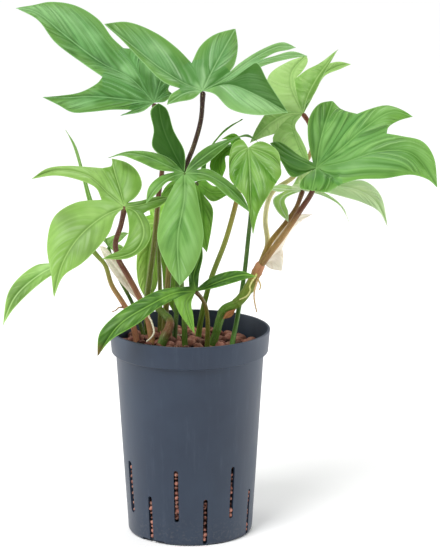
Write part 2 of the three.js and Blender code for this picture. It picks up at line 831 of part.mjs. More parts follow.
// A closed solid from a surface: both faces split into triangles alike, joined round the edge.
function thicken({ points, faces }, thickness) {
  const normals = points.map(() => new THREE.Vector3());
  const openEdges = new Map();
  for (const [a, b, c] of faces) {
    const normal = new THREE.Vector3().crossVectors(
      points[b].clone().sub(points[a]),
      points[c].clone().sub(points[a]),
    );
    for (const [from, to] of [[a, b], [b, c], [c, a]]) {
      normals[from].add(normal);
      if (!openEdges.delete(`${to} ${from}`)) {
        openEdges.set(`${from} ${to}`, [from, to]);
      }
    }
  }
  const count = points.length;
  const positions = [];
  for (const half of [thickness / 2, -thickness / 2]) {
    points.forEach((point, index) => {
      positions.push(...point.clone().addScaledVector(normals[index].clone().normalize(), half));
    });
  }
  const indices = [];
  for (const [a, b, c] of faces) {
    indices.push(a, b, c, a + count, c + count, b + count);
  }
  for (const [from, to] of openEdges.values()) {
    indices.push(to, from, from + count, to, from + count, to + count);
  }
  return solidFrom(positions, indices);
}

// A closed tube along a line, its radius passing through the radii given.
function tube(line, radii, sides, step, swell = 0) {
  const points = line.map(toVector);
  const steps = Math.max(3, Math.round(lineLength(points) / step));
  const centres = smoothLine(points, steps);
  const positions = [];
  const indices = [];
  const side = new THREE.Vector3(1, 0, 0);
  centres.forEach((centre, row) => {
    const before = centres[Math.max(row - 1, 0)];
    const after = centres[Math.min(row + 1, steps)];
    const along = after.clone().sub(before).normalize();
    side.addScaledVector(along, -side.dot(along)).normalize();
    const across = new THREE.Vector3().crossVectors(along, side);
    const place = (row / steps) * (radii.length - 1);
    const lower = Math.min(Math.floor(place), radii.length - 2);
    const radius = THREE.MathUtils.lerp(radii[lower], radii[lower + 1], place - lower) + swell;
    for (let k = 0; k < sides; k += 1) {
      const angle = (2 * Math.PI * k) / sides;
      const point = centre.clone()
        .addScaledVector(side, radius * Math.cos(angle))
        .addScaledVector(across, radius * Math.sin(angle));
      if (swell > 0 && (row === 0 || row === steps)) {
        point.addScaledVector(along, row === 0 ? -swell : swell);
      }
      positions.push(...point);
    }
  });
  const capStart = positions.length / 3;
  const startAlong = centres[1].clone().sub(centres[0]).normalize();
  const endAlong = centres[steps].clone().sub(centres[steps - 1]).normalize();
  positions.push(...centres[0].clone().addScaledVector(startAlong, -swell));
  positions.push(...centres[steps].clone().addScaledVector(endAlong, swell));
  for (let k = 0; k < sides; k += 1) {
    const next = (k + 1) % sides;
    indices.push(capStart, next, k);
    indices.push(capStart + 1, steps * sides + k, steps * sides + next);
    for (let row = 0; row < steps; row += 1) {
      const a = row * sides + k;
      const b = row * sides + next;
      indices.push(a, b, b + sides, a, b + sides, a + sides);
    }
  }
  return solidFrom(positions, indices);
}

function solidFrom(positions, indices) {
  return new wasm.Manifold(new wasm.Mesh({
    numProp: 3,
    vertProperties: new Float32Array(positions),
    triVerts: new Uint32Array(indices),
  }));
}

function solidFromGeometry(geometry) {
  const bare = geometry.clone();
  bare.deleteAttribute("normal");
  bare.deleteAttribute("uv");
  const merged = mergeVertices(bare, 1e-4);
  return solidFrom(merged.attributes.position.array, merged.index.array);
}

// The largest connected piece: a cut can leave a scrap on the far side.
function largestPiece(solid) {
  const pieces = solid.decompose();
  pieces.sort((a, b) => b.volume() - a.volume());
  return pieces[0];
}

const group = new THREE.Group();

function addPart(name, solid, look) {
  const mesh = solid.getMesh();
  const geometry = new THREE.BufferGeometry();
  geometry.setAttribute("position", new THREE.BufferAttribute(mesh.vertProperties, 3));
  geometry.setIndex(new THREE.BufferAttribute(mesh.triVerts, 1));
  geometry.computeVertexNormals();
  const material = new THREE.MeshStandardMaterial({ ...COLOURS[look], metalness: 0 });
  const part = new THREE.Mesh(geometry, material);
  part.name = name;
  group.add(part);
}

// Pot

function latheSolid(profile, sides) {
  const geometry = new THREE.LatheGeometry(profile.map(([r, z]) => new THREE.Vector2(r, z)), sides);
  geometry.rotateX(Math.PI / 2);
  return solidFromGeometry(geometry);
}

const collarBottom = POT_HEIGHT - COLLAR_HEIGHT;
const shoulderHeight = collarBottom - COLLAR_STEP;
const collarRadius = RIM_RADIUS - COLLAR_DRAFT;

// Outer wall radius at a height below the shoulder.
function wallRadius(z) {
  const t = z / shoulderHeight;
  return FOOT_RADIUS + (SHOULDER_RADIUS - FOOT_RADIUS) * t;
}

function potProfile() {
  const profile = [[0, 0], [FOOT_RADIUS - FOOT_ROUND, 0]];
  profile.push([wallRadius(1) - FOOT_ROUND * 0.3, FOOT_ROUND * 0.3]);
  profile.push([wallRadius(FOOT_ROUND), FOOT_ROUND]);
  profile.push([SHOULDER_RADIUS, shoulderHeight]);
  profile.push([collarRadius, collarBottom]);
  profile.push([RIM_RADIUS - LIP_ROUND, POT_HEIGHT - LIP]);
  profile.push([RIM_RADIUS, POT_HEIGHT - LIP / 2]);
  profile.push([RIM_RADIUS - LIP_ROUND, POT_HEIGHT]);
  profile.push([RIM_RADIUS - WALL + LIP_ROUND, POT_HEIGHT]);
  profile.push([collarRadius - WALL, collarBottom]);
  profile.push([SHOULDER_RADIUS - WALL, shoulderHeight]);
  profile.push([wallRadius(FLOOR_THICKNESS) - WALL, FLOOR_THICKNESS]);
  profile.push([0, FLOOR_THICKNESS]);
  return profile;
}

// A box that reaches outward from the axis at an angle, 0 facing -Y and positive towards +X.
function radialBox(angle, width, inner, outer, bottom, top) {
  const box = new THREE.BoxGeometry(width, outer - inner, top - bottom);
  box.translate(0, -(outer + inner) / 2, (bottom + top) / 2);
  box.rotateZ(THREE.MathUtils.degToRad(angle));
  return solidFromGeometry(box);
}

function footNotch(start) {
  const shape = new THREE.Shape();
  const from = THREE.MathUtils.degToRad(start - 90);
  const to = THREE.MathUtils.degToRad(start + FOOT_NOTCH_SWEEP - 90);
  shape.absarc(0, 0, RIM_RADIUS, from, to, false);
  shape.absarc(0, 0, FOOT_RADIUS - FOOT_NOTCH_DEPTH, to, from, true);
  shape.closePath();
  const geometry = new THREE.ExtrudeGeometry(shape, {
    depth: FOOT_NOTCH_HEIGHT + 1,
    bevelEnabled: false,
    curveSegments: 4,
  });
  geometry.translate(0, 0, -1);
  return solidFromGeometry(geometry);
}

function makePot() {
  let pot = latheSolid(potProfile(), POT_SIDES);
  for (let k = 0; k < SLOT_COUNT; k += 1) {
    const angle = FIRST_SLOT_ANGLE + (360 / SLOT_COUNT) * k;
    const slot = k % 2 === 0 ? HIGH_SLOT : LOW_SLOT;
    const inner = FOOT_RADIUS - 2 * WALL;
    pot = pot.subtract(radialBox(angle, SLOT_WIDTH, inner, RIM_RADIUS, slot.bottom, slot.top));
  }
  for (let k = 0; k < FOOT_NOTCH_COUNT; k += 1) {
    pot = pot.subtract(footNotch(FOOT_NOTCH_START + (360 / FOOT_NOTCH_COUNT) * k));
  }
  return pot;
}

// Pebble bed

function seededRandom(seed) {
  let state = seed;
  return () => {
    state = (state * 1664525 + 1013904223) % 4294967296;
    return state / 4294967296;
  };
}

function bedHeight(x, y) {
  const away = Math.hypot(x - BED_MOUND_CENTRE.x, y - BED_MOUND_CENTRE.y) / BED_MOUND_RADIUS;
  return BED_TOP + BED_MOUND * Math.exp(-away * away);
}

// The room inside the pot wall, from just over its floor to a given height.
function potInside(topHeight, sides) {
  const gap = WALL + CLEARANCE;
  const bottom = FLOOR_THICKNESS + CLEARANCE;
  return latheSolid([
    [0, bottom],
    [wallRadius(bottom) - gap, bottom],
    [SHOULDER_RADIUS - gap, shoulderHeight],
    [collarRadius - gap, collarBottom],
    [collarRadius - gap, topHeight],
    [0, topHeight],
  ], sides);
}

// The heap that the fill rises to beside the pot's axis, under the pebbles.
function moundSolid() {
  const foot = BED_TOP - 3 * PEBBLE_LARGE;
  const reach = 1.4 * BED_MOUND_RADIUS;
  const profile = [[0, foot], [reach, foot]];
  for (let ring = 0; ring <= MOUND_RINGS; ring += 1) {
    const r = reach * (1 - ring / MOUND_RINGS);
    const rise = BED_MOUND * Math.exp(-((r / BED_MOUND_RADIUS) ** 2));
    profile.push([r, BED_TOP - PEBBLE_SMALL + rise]);
  }
  const mound = latheSolid(profile, MOUND_SIDES);
  return mound.translate([BED_MOUND_CENTRE.x, BED_MOUND_CENTRE.y, 0]);
}

function makeBed() {
  let bed = potInside(BED_TOP - PEBBLE_SMALL, BED_SIDES).add(moundSolid());
  const random = seededRandom(7);
  const reach = collarRadius - WALL - CLEARANCE - PEBBLE_LARGE;
  for (let k = 0; k < PEBBLE_COUNT; k += 1) {
    const size = THREE.MathUtils.lerp(PEBBLE_SMALL, PEBBLE_LARGE, random());
    const distance = Math.sqrt((k + 0.5) / PEBBLE_COUNT) * reach;
    const angle = k * GOLDEN_ANGLE;
    const x = distance * Math.cos(angle);
    const y = distance * Math.sin(angle);
    const pebble = new THREE.IcosahedronGeometry(size, 0);
    pebble.scale(
      PEBBLE_FLATNESS.x + PEBBLE_STRETCH.x * random(),
      PEBBLE_FLATNESS.y + PEBBLE_STRETCH.y * random(),
      PEBBLE_FLATNESS.z + PEBBLE_STRETCH.z * random(),
    );
    pebble.rotateX((random() - 0.5) * PEBBLE_TILT);
    pebble.rotateZ(random() * Math.PI);
    pebble.translate(x, y, bedHeight(x, y) - size * PEBBLE_SINK);
    bed = bed.add(solidFromGeometry(pebble));
  }
  return bed.intersect(potInside(POT_HEIGHT, BED_SIDES));
}

// A blade with room around it: copies moved towards each corner of a cube, joined.
function withClearance(blade) {
  const steps = [-CLEARANCE, CLEARANCE];
  let grown = blade;
  for (const x of steps) {
    for (const y of steps) {
      for (const z of steps) {
        grown = grown.add(blade.translate([x, y, z]));
      }
    }
  }
  return grown;
}

const blades = new Map();

function addLeaves() {
  for (const leaf of LEAVES) {
    const surface = bladeSurface(leaf, ROW_STEP);
    addPart(leaf.name, thicken(surface, BLADE_THICKNESS), leaf.green);
    blades.set(leaf.name, withClearance(thicken(surface, BLADE_THICKNESS + CLEARANCE)));
  }
}

// What is already standing, each solid with its clearance: later pieces are cut back from it.
const standing = [];

function addGrown(piece, sides, step, look, extra = []) {
  let solid = tube(piece.line, piece.radii, sides, step);
  for (const other of [...standing, ...extra]) {
    solid = solid.subtract(other);
  }
  addPart(piece.name, largestPiece(solid), look);
  standing.push(tube(piece.line, piece.radii, sides, step, CLEARANCE));
}

function addStalks() {
  for (const stem of STEMS) {
    addGrown(stem, STALK_SIDES, STALK_STEP, "stem");
  }
  for (const petiole of PETIOLES) {
    addGrown(petiole, STALK_SIDES, STALK_STEP, petiole.colour, [blades.get(petiole.leaf)]);
  }
  for (const root of ROOTS) {
    addGrown(root, ROOT_SIDES, ROOT_STEP, "root");
  }
  for (const sheath of SHEATHS) {
    let solid = thicken(bladeSurface(sheath, SHEET_ROW_STEP), SHEET_THICKNESS);
    for (const other of standing) {
      solid = solid.subtract(other);
    }
    addPart(sheath.name, largestPiece(solid), "paper");
  }
}

// The bed has a plain hole for everything that stands in it.
function addBed() {
  let bed = makeBed();
  for (const solid of standing) {
    bed = bed.subtract(solid);
  }
  addPart("pebble_bed", largestPiece(bed), "pebbles");
}

addPart("culture_pot", makePot(), "pot");
addLeaves();
addStalks();
addBed();

export default group;
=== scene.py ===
# %% [markdown]
# # A potted philodendron with lobed leaves
# This lesson dresses a house plant that stands in a tall slotted culture pot. The plain solids
# come ready made: closed leaf blades, stalks, stems, a pebble bed and the pot, all in one frame
# of metres with +Z up. Each one is replaced here by a finer piece that keeps its form.
# Real leaves are thin, waxy and ribbed, so most of the work goes into the blades.

# %% Load the solids
import json
import math
import random
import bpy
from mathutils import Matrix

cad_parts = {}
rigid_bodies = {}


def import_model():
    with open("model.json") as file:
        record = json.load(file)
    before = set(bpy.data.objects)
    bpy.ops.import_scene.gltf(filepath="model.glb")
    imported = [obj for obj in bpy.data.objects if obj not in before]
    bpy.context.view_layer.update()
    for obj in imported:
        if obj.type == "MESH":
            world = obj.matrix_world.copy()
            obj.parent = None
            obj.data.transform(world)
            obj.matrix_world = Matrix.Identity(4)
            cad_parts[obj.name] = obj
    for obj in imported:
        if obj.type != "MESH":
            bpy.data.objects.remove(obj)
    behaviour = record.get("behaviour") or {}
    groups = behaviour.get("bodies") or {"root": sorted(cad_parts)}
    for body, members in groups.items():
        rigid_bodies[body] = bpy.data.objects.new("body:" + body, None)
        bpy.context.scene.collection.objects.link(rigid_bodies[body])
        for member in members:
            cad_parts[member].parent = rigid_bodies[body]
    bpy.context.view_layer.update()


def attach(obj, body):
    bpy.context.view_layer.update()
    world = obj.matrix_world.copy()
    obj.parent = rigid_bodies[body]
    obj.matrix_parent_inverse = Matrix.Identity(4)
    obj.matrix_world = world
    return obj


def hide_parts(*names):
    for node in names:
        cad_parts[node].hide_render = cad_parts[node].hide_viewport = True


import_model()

from types import SimpleNamespace

import bmesh
import bpy
import numpy as np
from mathutils import Vector

MM = 0.001
scene = bpy.context.scene

# %% [markdown]
# ## The camera
# The picture was taken from a little above the rim of the pot, from far away with a long lens,
# so the pot's rim is a flat ellipse and its sides hardly converge. A camera can be matched by
# eye, but a pot gives two circles at known heights, so its place and pitch were worked out from
# the rim and the foot. The sensor is fitted to the height of the upright frame.

# %% Place the camera
FRAME_HEIGHT_PX = 547
FOCAL_LENGTH_PX = 2908.9
SENSOR_HEIGHT_MM = 36.0
CAMERA_PLACE_MM = (27.78, -2600.0, 839.39)
CAMERA_PITCH_DEG = 12.91
CLIP_END_M = 20.0


def add_object(name, data):
    """An object that holds the data, linked into the scene."""
    thing = bpy.data.objects.new(name, data)
    scene.collection.objects.link(thing)
    return thing


camera_data = bpy.data.cameras.new("camera")
camera_data.sensor_fit = "VERTICAL"
camera_data.sensor_height = SENSOR_HEIGHT_MM
camera_data.lens = FOCAL_LENGTH_PX / FRAME_HEIGHT_PX * SENSOR_HEIGHT_MM
camera_data.clip_end = CLIP_END_M
camera = add_object("camera", camera_data)
camera.location = [value * MM for value in CAMERA_PLACE_MM]
camera.rotation_euler = (math.radians(90 - CAMERA_PITCH_DEG), 0, 0)
scene.camera = camera
print("lens:", round(camera_data.lens, 1), "mm")

# %% [markdown]
# ## Floor and light
# The plant stands on plain white with hardly a shadow. A big pale floor under a bright even sky
# gives that. The leaves need one main direction, or their folds go flat, so a wide soft sun
# comes from the upper left and front. It lights near and far floor alike. Tall lamps at the
# sides give the smooth pot its light edges and draw the shine along the leaf ribs.

# %% Floor, sky and lamps
FLOOR_HALF_M = 30.0
FLOOR_COLOUR = (0.93, 0.93, 0.93, 1.0)
FLOOR_ROUGHNESS = 0.9
SKY_COLOUR = (1.0, 1.0, 1.0, 1.0)
SKY_STRENGTH = 0.45
SUN_STRENGTH = 2.65
SUN_ANGLE_DEG = 30.0
SUN_FROM = (-0.55, -0.75, 1.15)
LAMPS = [
    dict(name="top_back", place=(0.3, 0.9, 1.5), size=0.9, power=7.0),
    dict(name="left_wall", place=(-1.5, 0.35, 0.45), size=1.2, power=11.0),
    dict(name="right_wall", place=(1.5, 0.35, 0.45), size=1.2, power=15.0),
]
LAMP_AIM_M = Vector((0.0, 0.0, 0.3))

floor_mesh = bpy.data.meshes.new("floor")
floor_corners = [(x * FLOOR_HALF_M, y * FLOOR_HALF_M, 0) for x, y in ((-1, -1), (1, -1), (1, 1), (-1, 1))]
floor_mesh.from_pydata(floor_corners, [], [(0, 1, 2, 3)])
floor_paint = bpy.data.materials.new("floor_paint")
floor_paint.use_nodes = True
floor_inputs = floor_paint.node_tree.nodes["Principled BSDF"].inputs
floor_inputs["Base Color"].default_value = FLOOR_COLOUR
floor_inputs["Roughness"].default_value = FLOOR_ROUGHNESS
floor_mesh.materials.append(floor_paint)
floor = add_object("floor", floor_mesh)

sky = bpy.data.worlds.new("sky")
sky.use_nodes = True
sky_inputs = sky.node_tree.nodes["Background"].inputs
sky_inputs["Color"].default_value = SKY_COLOUR
sky_inputs["Strength"].default_value = SKY_STRENGTH
scene.world = sky
scene.view_settings.view_transform = "Standard"


def add_light(name, kind, place, power, **settings):
    """A lamp at a place in metres, turned towards the middle of the plant."""
    light = bpy.data.lights.new(name, kind)
    light.energy = power
    for key, value in settings.items():
        setattr(light, key, value)
    lamp = add_object(name, light)
    lamp.location = place
    lamp.rotation_euler = (LAMP_AIM_M - Vector(place)).to_track_quat("-Z", "Y").to_euler()


sun_place = LAMP_AIM_M + Vector(SUN_FROM)
add_light("sun", "SUN", sun_place, SUN_STRENGTH, angle=math.radians(SUN_ANGLE_DEG))
for lamp in LAMPS:
    add_light(lamp["name"], "AREA", lamp["place"], lamp["power"], size=lamp["size"])
print("lamps:", len(LAMPS) + 1)

# %% [markdown]
# ## Helpers for materials
# Every finish is a small tree of nodes that ends in one Principled shader. Short helpers keep
# the trees readable: one turns a written colour into the linear values that nodes take, one
# adds a node and fills or links its sockets, and others do sums, ramps, noise and mixing.

# %% Values in a tree of nodes
def srgb(text):
    """Six hex digits as linear red, green, blue and alpha."""
    values = [int(text[i:i + 2], 16) / 255 for i in (0, 2, 4)]
    return (*[v / 12.92 if v <= 0.04045 else ((v + 0.055) / 1.055) ** 2.4 for v in values], 1.0)


def add_node(tree, kind, inputs=None, **settings):
    """A node with its settings, and its sockets filled with values or linked."""
    node = tree.nodes.new(kind)
    for key, value in settings.items():
        setattr(node, key, value)
    for key, value in (inputs or {}).items():
        if isinstance(value, bpy.types.NodeSocket):
            tree.links.new(value, node.inputs[key])
        else:
            node.inputs[key].default_value = value
    return node


def maths(tree, operation, first, second=0.0):
    return add_node(tree, "ShaderNodeMath", {0: first, 1: second}, operation=operation).outputs[0]


def times(tree, value, *factors):
    for factor in factors:
        value = maths(tree, "MULTIPLY", value, factor)
    return value


def plus(tree, value, *others):
    for other in others:
        value = maths(tree, "ADD", value, other)
    return value


def ramp(tree, value, low, high, out_low=0.0, out_high=1.0):
    """A value rescaled smoothly from one range to another, and held at its ends."""
    inputs = {"Value": value, "From Min": low, "From Max": high, "To Min": out_low, "To Max": out_high}
    return add_node(tree, "ShaderNodeMapRange", inputs, interpolation_type="SMOOTHSTEP").outputs[0]


def split(tree, vector):
    return add_node(tree, "ShaderNodeSeparateXYZ", {0: vector}).outputs


def join(tree, x, y, z=0.0):
    return add_node(tree, "ShaderNodeCombineXYZ", {"X": x, "Y": y, "Z": z}).outputs[0]


def object_place(tree):
    return add_node(tree, "ShaderNodeTexCoord").outputs["Object"]


def uv_values(tree, map_name):
    return split(tree, add_node(tree, "ShaderNodeUVMap", uv_map=map_name).outputs[0])


def noise(tree, vector, scale, detail=2.0, roughness=0.5):
    inputs = {"Vector": vector, "Scale": scale, "Detail": detail, "Roughness": roughness}
    return add_node(tree, "ShaderNodeTexNoise", inputs).outputs["Fac"]


# %% [markdown]
# Paint goes on in coats. A coat has a colour and something that drives how much of it shows:
# the distance from a rib, a noise, the height above the floor. So a finish is written as a list
# of coats, which can be read from the ground up like the layers of a painting.

# %% Coats of paint
def mix_colours(tree, share, first, second):
    """Two colours mixed by a share from 0 to 1. A colour may be written as six hex digits."""
    first, second = (srgb(paint) if isinstance(paint, str) else paint for paint in (first, second))
    return add_node(tree, "ShaderNodeMix", {0: share, 6: first, 7: second}, data_type="RGBA").outputs[2]


def coats(tree, colour, rows):
    """Paint laid over paint. A row has what drives the coat, where it starts and where it ends,
    its share at the start and at the end (0 and 1 if not given), and its colour. What drives
    it may be a share already. Then nothing but the colour follows."""
    for drive, *steps, paint in rows:
        share = ramp(tree, drive, *steps) if steps else drive
        colour = mix_colours(tree, share, colour, paint)
    return colour


def shader_inputs(material):
    return material.node_tree.nodes["Principled BSDF"].inputs


def new_finish(name, roughness, shine=0.3):
    """An empty material with one shader, and its tree."""
    material = bpy.data.materials.new(name)
    material.use_nodes = True
    shader_inputs(material)["Roughness"].default_value = roughness
    shader_inputs(material)["Specular IOR Level"].default_value = shine
    return material, material.node_tree


def complete(material, colour, height, strength, depth_mm, rough=None):
    """The colour, the bumps and, where it varies, the roughness, linked to the shader."""
    tree, inputs = material.node_tree, shader_inputs(material)
    bump = {"Strength": strength, "Distance": depth_mm * MM, "Height": height}
    tree.links.new(colour, inputs["Base Color"])
    tree.links.new(add_node(tree, "ShaderNodeBump", bump).outputs[0], inputs["Normal"])
    if rough is not None:
        tree.links.new(rough, inputs["Roughness"])
    return material


# %% [markdown]
# ## Helpers for shapes
# Leaves, stalks and roots all follow smooth lines through a few points. The line is the
# centripetal kind, which never loops between close points, cut into steps of equal length.

# %% Smooth lines
SPAN_SAMPLES = 12
SHORTEST_SPAN_MM = 1e-6
TINY = 1e-9


def unit(vector):
    return vector / max(np.linalg.norm(vector), TINY)


def span_time(start, end):
    return max(np.linalg.norm(end - start), SHORTEST_SPAN_MM) ** 0.5


def dense_line(points):
    """Points close together along a smooth line through the points given."""
    points = [np.array(point, float) for point in points]
    if len(points) == 2:
        return np.linspace(points[0], points[1], SPAN_SAMPLES)
    ends = [2 * points[0] - points[1], *points, 2 * points[-1] - points[-2]]
    line = []
    for p0, p1, p2, p3 in zip(ends, ends[1:], ends[2:], ends[3:]):
        t1 = span_time(p0, p1)
        t2 = t1 + span_time(p1, p2)
        t3 = t2 + span_time(p2, p3)
        for t in np.linspace(t1, t2, SPAN_SAMPLES, endpoint=False):
            a1 = (t1 - t) / t1 * p0 + t / t1 * p1
            a2 = (t2 - t) / (t2 - t1) * p1 + (t - t1) / (t2 - t1) * p2
            a3 = (t3 - t) / (t3 - t2) * p2 + (t - t2) / (t3 - t2) * p3
            b1 = (t2 - t) / t2 * a1 + t / t2 * a2
            b2 = (t3 - t) / (t3 - t1) * a2 + (t - t1) / (t3 - t1) * a3
            line.append((t2 - t) / (t2 - t1) * b1 + (t - t1) / (t2 - t1) * b2)
    return np.array([*line, points[-1]])


def distances(line):
    """How far along the line each of its points lies."""
    return np.concatenate([[0], np.cumsum(np.linalg.norm(np.diff(line, axis=0), axis=1))])


def smooth_line(points, steps):
    """A smooth line through the points, in steps of equal length."""
    line = dense_line(points)
    reach = distances(line)
    places = np.linspace(0, reach[-1], steps + 1)
    return np.stack([np.interp(places, reach, line[:, axis]) for axis in range(3)], axis=1)


def line_length(points):
    return distances(dense_line(points))[-1]


# %% [markdown]
# Lists of corners become a mesh, with a UV pair for each corner of each face. UV pairs belong
# to corners, so two lobes that share an edge keep their own veins. Round things, such as the
# stalks, the bed and the pot, are rings of points closed by a tip at each end. Every finished
# piece then takes the place of its solid.

# %% Meshes from corners and rings
def add_mesh(name, places_mm, faces, uv_maps, finish, sharp_edges=()):
    """A smooth-shaded mesh object. Each UV map has one pair for each corner of each face."""
    mesh = bpy.data.meshes.new(name)
    mesh.from_pydata(np.asarray(places_mm) * MM, [], faces)
    for map_name, pairs in uv_maps.items():
        layer = mesh.uv_layers.new(name=map_name)
        layer.data.foreach_set("uv", np.asarray(pairs, float).ravel())
    mesh.polygons.foreach_set("use_smooth", [True] * len(mesh.polygons))
    if len(sharp_edges):
        wanted = {tuple(sorted(edge)) for edge in sharp_edges}
        marks = [tuple(sorted(edge.vertices)) in wanted for edge in mesh.edges]
        layer = mesh.attributes.new("sharp_edge", "BOOLEAN", "EDGE")
        layer.data.foreach_set("value", marks)
    mesh.materials.append(finish)
    mesh.validate()
    return add_object(name, mesh)


def circle(radius, z, sides):
    turns = np.linspace(0, 2 * np.pi, sides, endpoint=False)
    return [(radius * math.cos(turn), radius * math.sin(turn), z) for turn in turns]


def close_rings(rings, first_tip, last_tip):
    """Places and faces of a closed skin over rings of points, with a tip at each end."""
    sides = len(rings[0])
    places = [*[place for ring in rings for place in ring], first_tip, last_tip]
    faces = []
    for start in range(0, (len(rings) - 1) * sides, sides):
        for k in range(sides):
            a, b = start + k, start + (k + 1) % sides
            faces.append([a, b, b + sides, a + sides])
    last = len(places) - 2 - sides
    for k in range(sides):
        faces.append([len(places) - 2, (k + 1) % sides, k])
    for k in range(sides):
        faces.append([len(places) - 1, last + k, last + (k + 1) % sides])
    return places, faces


def stand_for(thing, *nodes):
    """The piece takes the place of the solids named and rides with the pot."""
    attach(thing, "root")
    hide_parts(*nodes)
    return thing


# %% [markdown]
# ## The leaf blade
# A blade is one thin sheet that grew as several lobes round a hub, where the stalk meets it.
# A flat cut-out bent by modifiers would lose the folds, so the sheet is woven from lines: each
# lobe has a rib, and rows of points run from the rib out to the margin, bulged a little. Two
# neighbours share a web that ends at the sinus between them. The web follows the bend of the
# ribs on both its sides.

# %% Ribs and webs
LEAF_STEP_MM = 10.0
FINE = 5
COLUMNS = 2 * FINE
FEWEST_ROWS = 4
WEB_FOLLOW = 0.35


def number_points(places, line):
    """The numbers that the points of a line from the hub get when they join the places."""
    first = len(places)
    places.extend(line[1:])
    return [0, *range(first, len(places))]


def lay_rib(sheet, step, rib_points, left, right, shades):
    """The rib of a lobe from the hub to its tip, cut into rows."""
    through = [sheet.places[0], *rib_points]
    rows = max(FEWEST_ROWS, round(line_length(through) / step)) * FINE
    rib = smooth_line(through, rows)
    ids = number_points(sheet.places, rib)
    sheet.ribs.update(ids)
    return SimpleNamespace(rows=rows, line=rib, ids=ids, sides=(left, right), shades=shades)


def lay_web(sheet, step, sinus, before, after):
    """The line from the hub to the sinus between two lobes, bent as their ribs are."""
    hub, sinus = sheet.places[0], np.array(sinus, float)
    wanted = round(np.linalg.norm(sinus - hub) / step) * FINE
    rows = max(FINE, min(wanted, before.rows - 2 * FINE, after.rows - 2 * FINE))
    share = np.linspace(0, 1, rows + 1)[:, None]
    line = hub + (sinus - hub) * share
    for lobe in (before, after):
        rib = lobe.line[:rows + 1]
        chord = rib[0] + (rib[-1] - rib[0]) * share
        line = line + WEB_FOLLOW * (rib - chord)
    return SimpleNamespace(rows=rows, line=line, ids=number_points(sheet.places, line))


# %% [markdown]
# Each half of a lobe is a grid of points between its rib and its edge, which is first the web
# and then the free margin. Every corner of a face notes what the paint will want to know: how
# far along the rib it lies, how far across, how far from the margin, and its shade. The shade
# paints the half darker or paler, partly for its own tone and partly as painted shade and light.

# %% Weave the halves of the lobes
ARCH = 0.1
FAR_MM = 99.0


def weave_half(sheet, lobe, right, web):
    """One half of a lobe, with its points, its faces, and what each face corner knows."""
    rows, rib = lobe.rows, lobe.line
    web_rows = web.rows if web else 0
    start = web.line[-1] if web else sheet.places[0]
    margin = smooth_line([start, *lobe.sides[right], rib[-1]], rows - web_rows)
    edge = np.vstack([web.line, margin[1:]]) if web else margin
    grid = np.zeros((rows + 1, COLUMNS + 1), int)
    across = np.zeros((rows + 1, COLUMNS + 1))
    for row in range(1, rows):
        along = rib[row + 1] - rib[row - 1]
        span = edge[row] - rib[row]
        normal = unit(np.cross(span, along) if right else np.cross(along, span))
        width = np.linalg.norm(span)
        grid[row, 0] = lobe.ids[row]
        for column in range(1, COLUMNS + 1):
            t = column / COLUMNS
            across[row, column] = width * t
            if column == COLUMNS and row <= web_rows:
                grid[row, column] = web.ids[row]
            else:
                grid[row, column] = len(sheet.places)
                sheet.places.append(rib[row] + span * t + normal * (ARCH * width * 4 * t * (1 - t)))
        if row > web_rows:
            sheet.pinned.add(int(grid[row, COLUMNS]))
    grid[rows, :] = lobe.ids[rows]
    sheet.pinned.update([lobe.ids[rows], *(web.ids[-1:] if web else [])])
    reach = distances(rib)
    for row in range(rows):
        for column in range(COLUMNS):
            quad = [(row, column), (row, column + 1), (row + 1, column + 1), (row + 1, column)]
            if not right:
                quad = [quad[0], *quad[:0:-1]]
            seen = {}
            for r, c in quad:
                seen.setdefault(int(grid[r, c]), (r, c))
            if len(seen) < 3:
                continue
            sheet.faces.append(list(seen))
            for r, c in seen.values():
                to_edge = across[r, COLUMNS] - across[r, c] if r > web_rows else FAR_MM
                knows = reach[r], across[r, c], c / COLUMNS, to_edge, lobe.shades[right], r / rows
                sheet.corners.append(knows)


def weave_sheet(leaf, step):
    """The middle surface of a blade: points, faces, corners, held points and ribs."""
    hub = np.array(leaf["hub"], float)
    sheet = SimpleNamespace(places=[hub], faces=[], corners=[], pinned={0}, ribs=set())
    lobes = [lay_rib(sheet, step, *lobe) for lobe in leaf["lobes"]]
    between = zip(leaf["sinuses"], lobes, lobes[1:])
    webs = [lay_web(sheet, step, *three) for three in between]
    for lobe, web_before, web_after in zip(lobes, [None, *webs], [*webs, None]):
        weave_half(sheet, lobe, False, web_before)
        weave_half(sheet, lobe, True, web_after)
    return sheet


# %% [markdown]
# The woven sheet still has hard creases where webs meet. Each free point is moved part of the
# way to the middle of its neighbours a few times. Points on the margin stay, so the outline
# keeps its cut, and points on the ribs move less, so the ribs stay folds.

# %% Soften the webs
SOFTEN_ROUNDS = 8
SOFTEN_SHARE = 0.5
RIB_SHARE = 0.12


def edges_of(face):
    return zip(face, face[1:] + face[:1])


def soften(places, faces, pinned, ribs):
    """Points eased towards their neighbours, margins held and ribs nearly so."""
    pairs = np.array(sorted({tuple(sorted(pair)) for face in faces for pair in edges_of(face)}))
    count = np.bincount(pairs.ravel(), minlength=len(places))[:, None]
    share = np.full((len(places), 1), SOFTEN_SHARE)
    share[list(ribs)] = RIB_SHARE
    share[list(pinned)] = 0.0
    for _ in range(SOFTEN_ROUNDS):
        total = np.zeros_like(places)
        np.add.at(total, pairs[:, 0], places[pairs[:, 1]])
        np.add.at(total, pairs[:, 1], places[pairs[:, 0]])
        places = places + share * (total / count - places)
    return places


def point_normals(places, faces):
    """The average direction in which the faces round each point look."""
    normals = np.zeros_like(places)
    for face in faces:
        a, b, c = places[face[:3]]
        normal = np.cross(b - a, c - a)
        for index in face:
            normals[index] += normal
    return normals / np.maximum(np.linalg.norm(normals, axis=1, keepdims=True), TINY)


# %% [markdown]
# The sheet is given its relief, a groove along each rib and shallow waves along the side veins,
# and then its thickness. The same waves drive the colour, through the UV maps. Side veins leave
# the rib steeply near the hub and slant more and more towards the tip, and each bends forward
# near the margin.

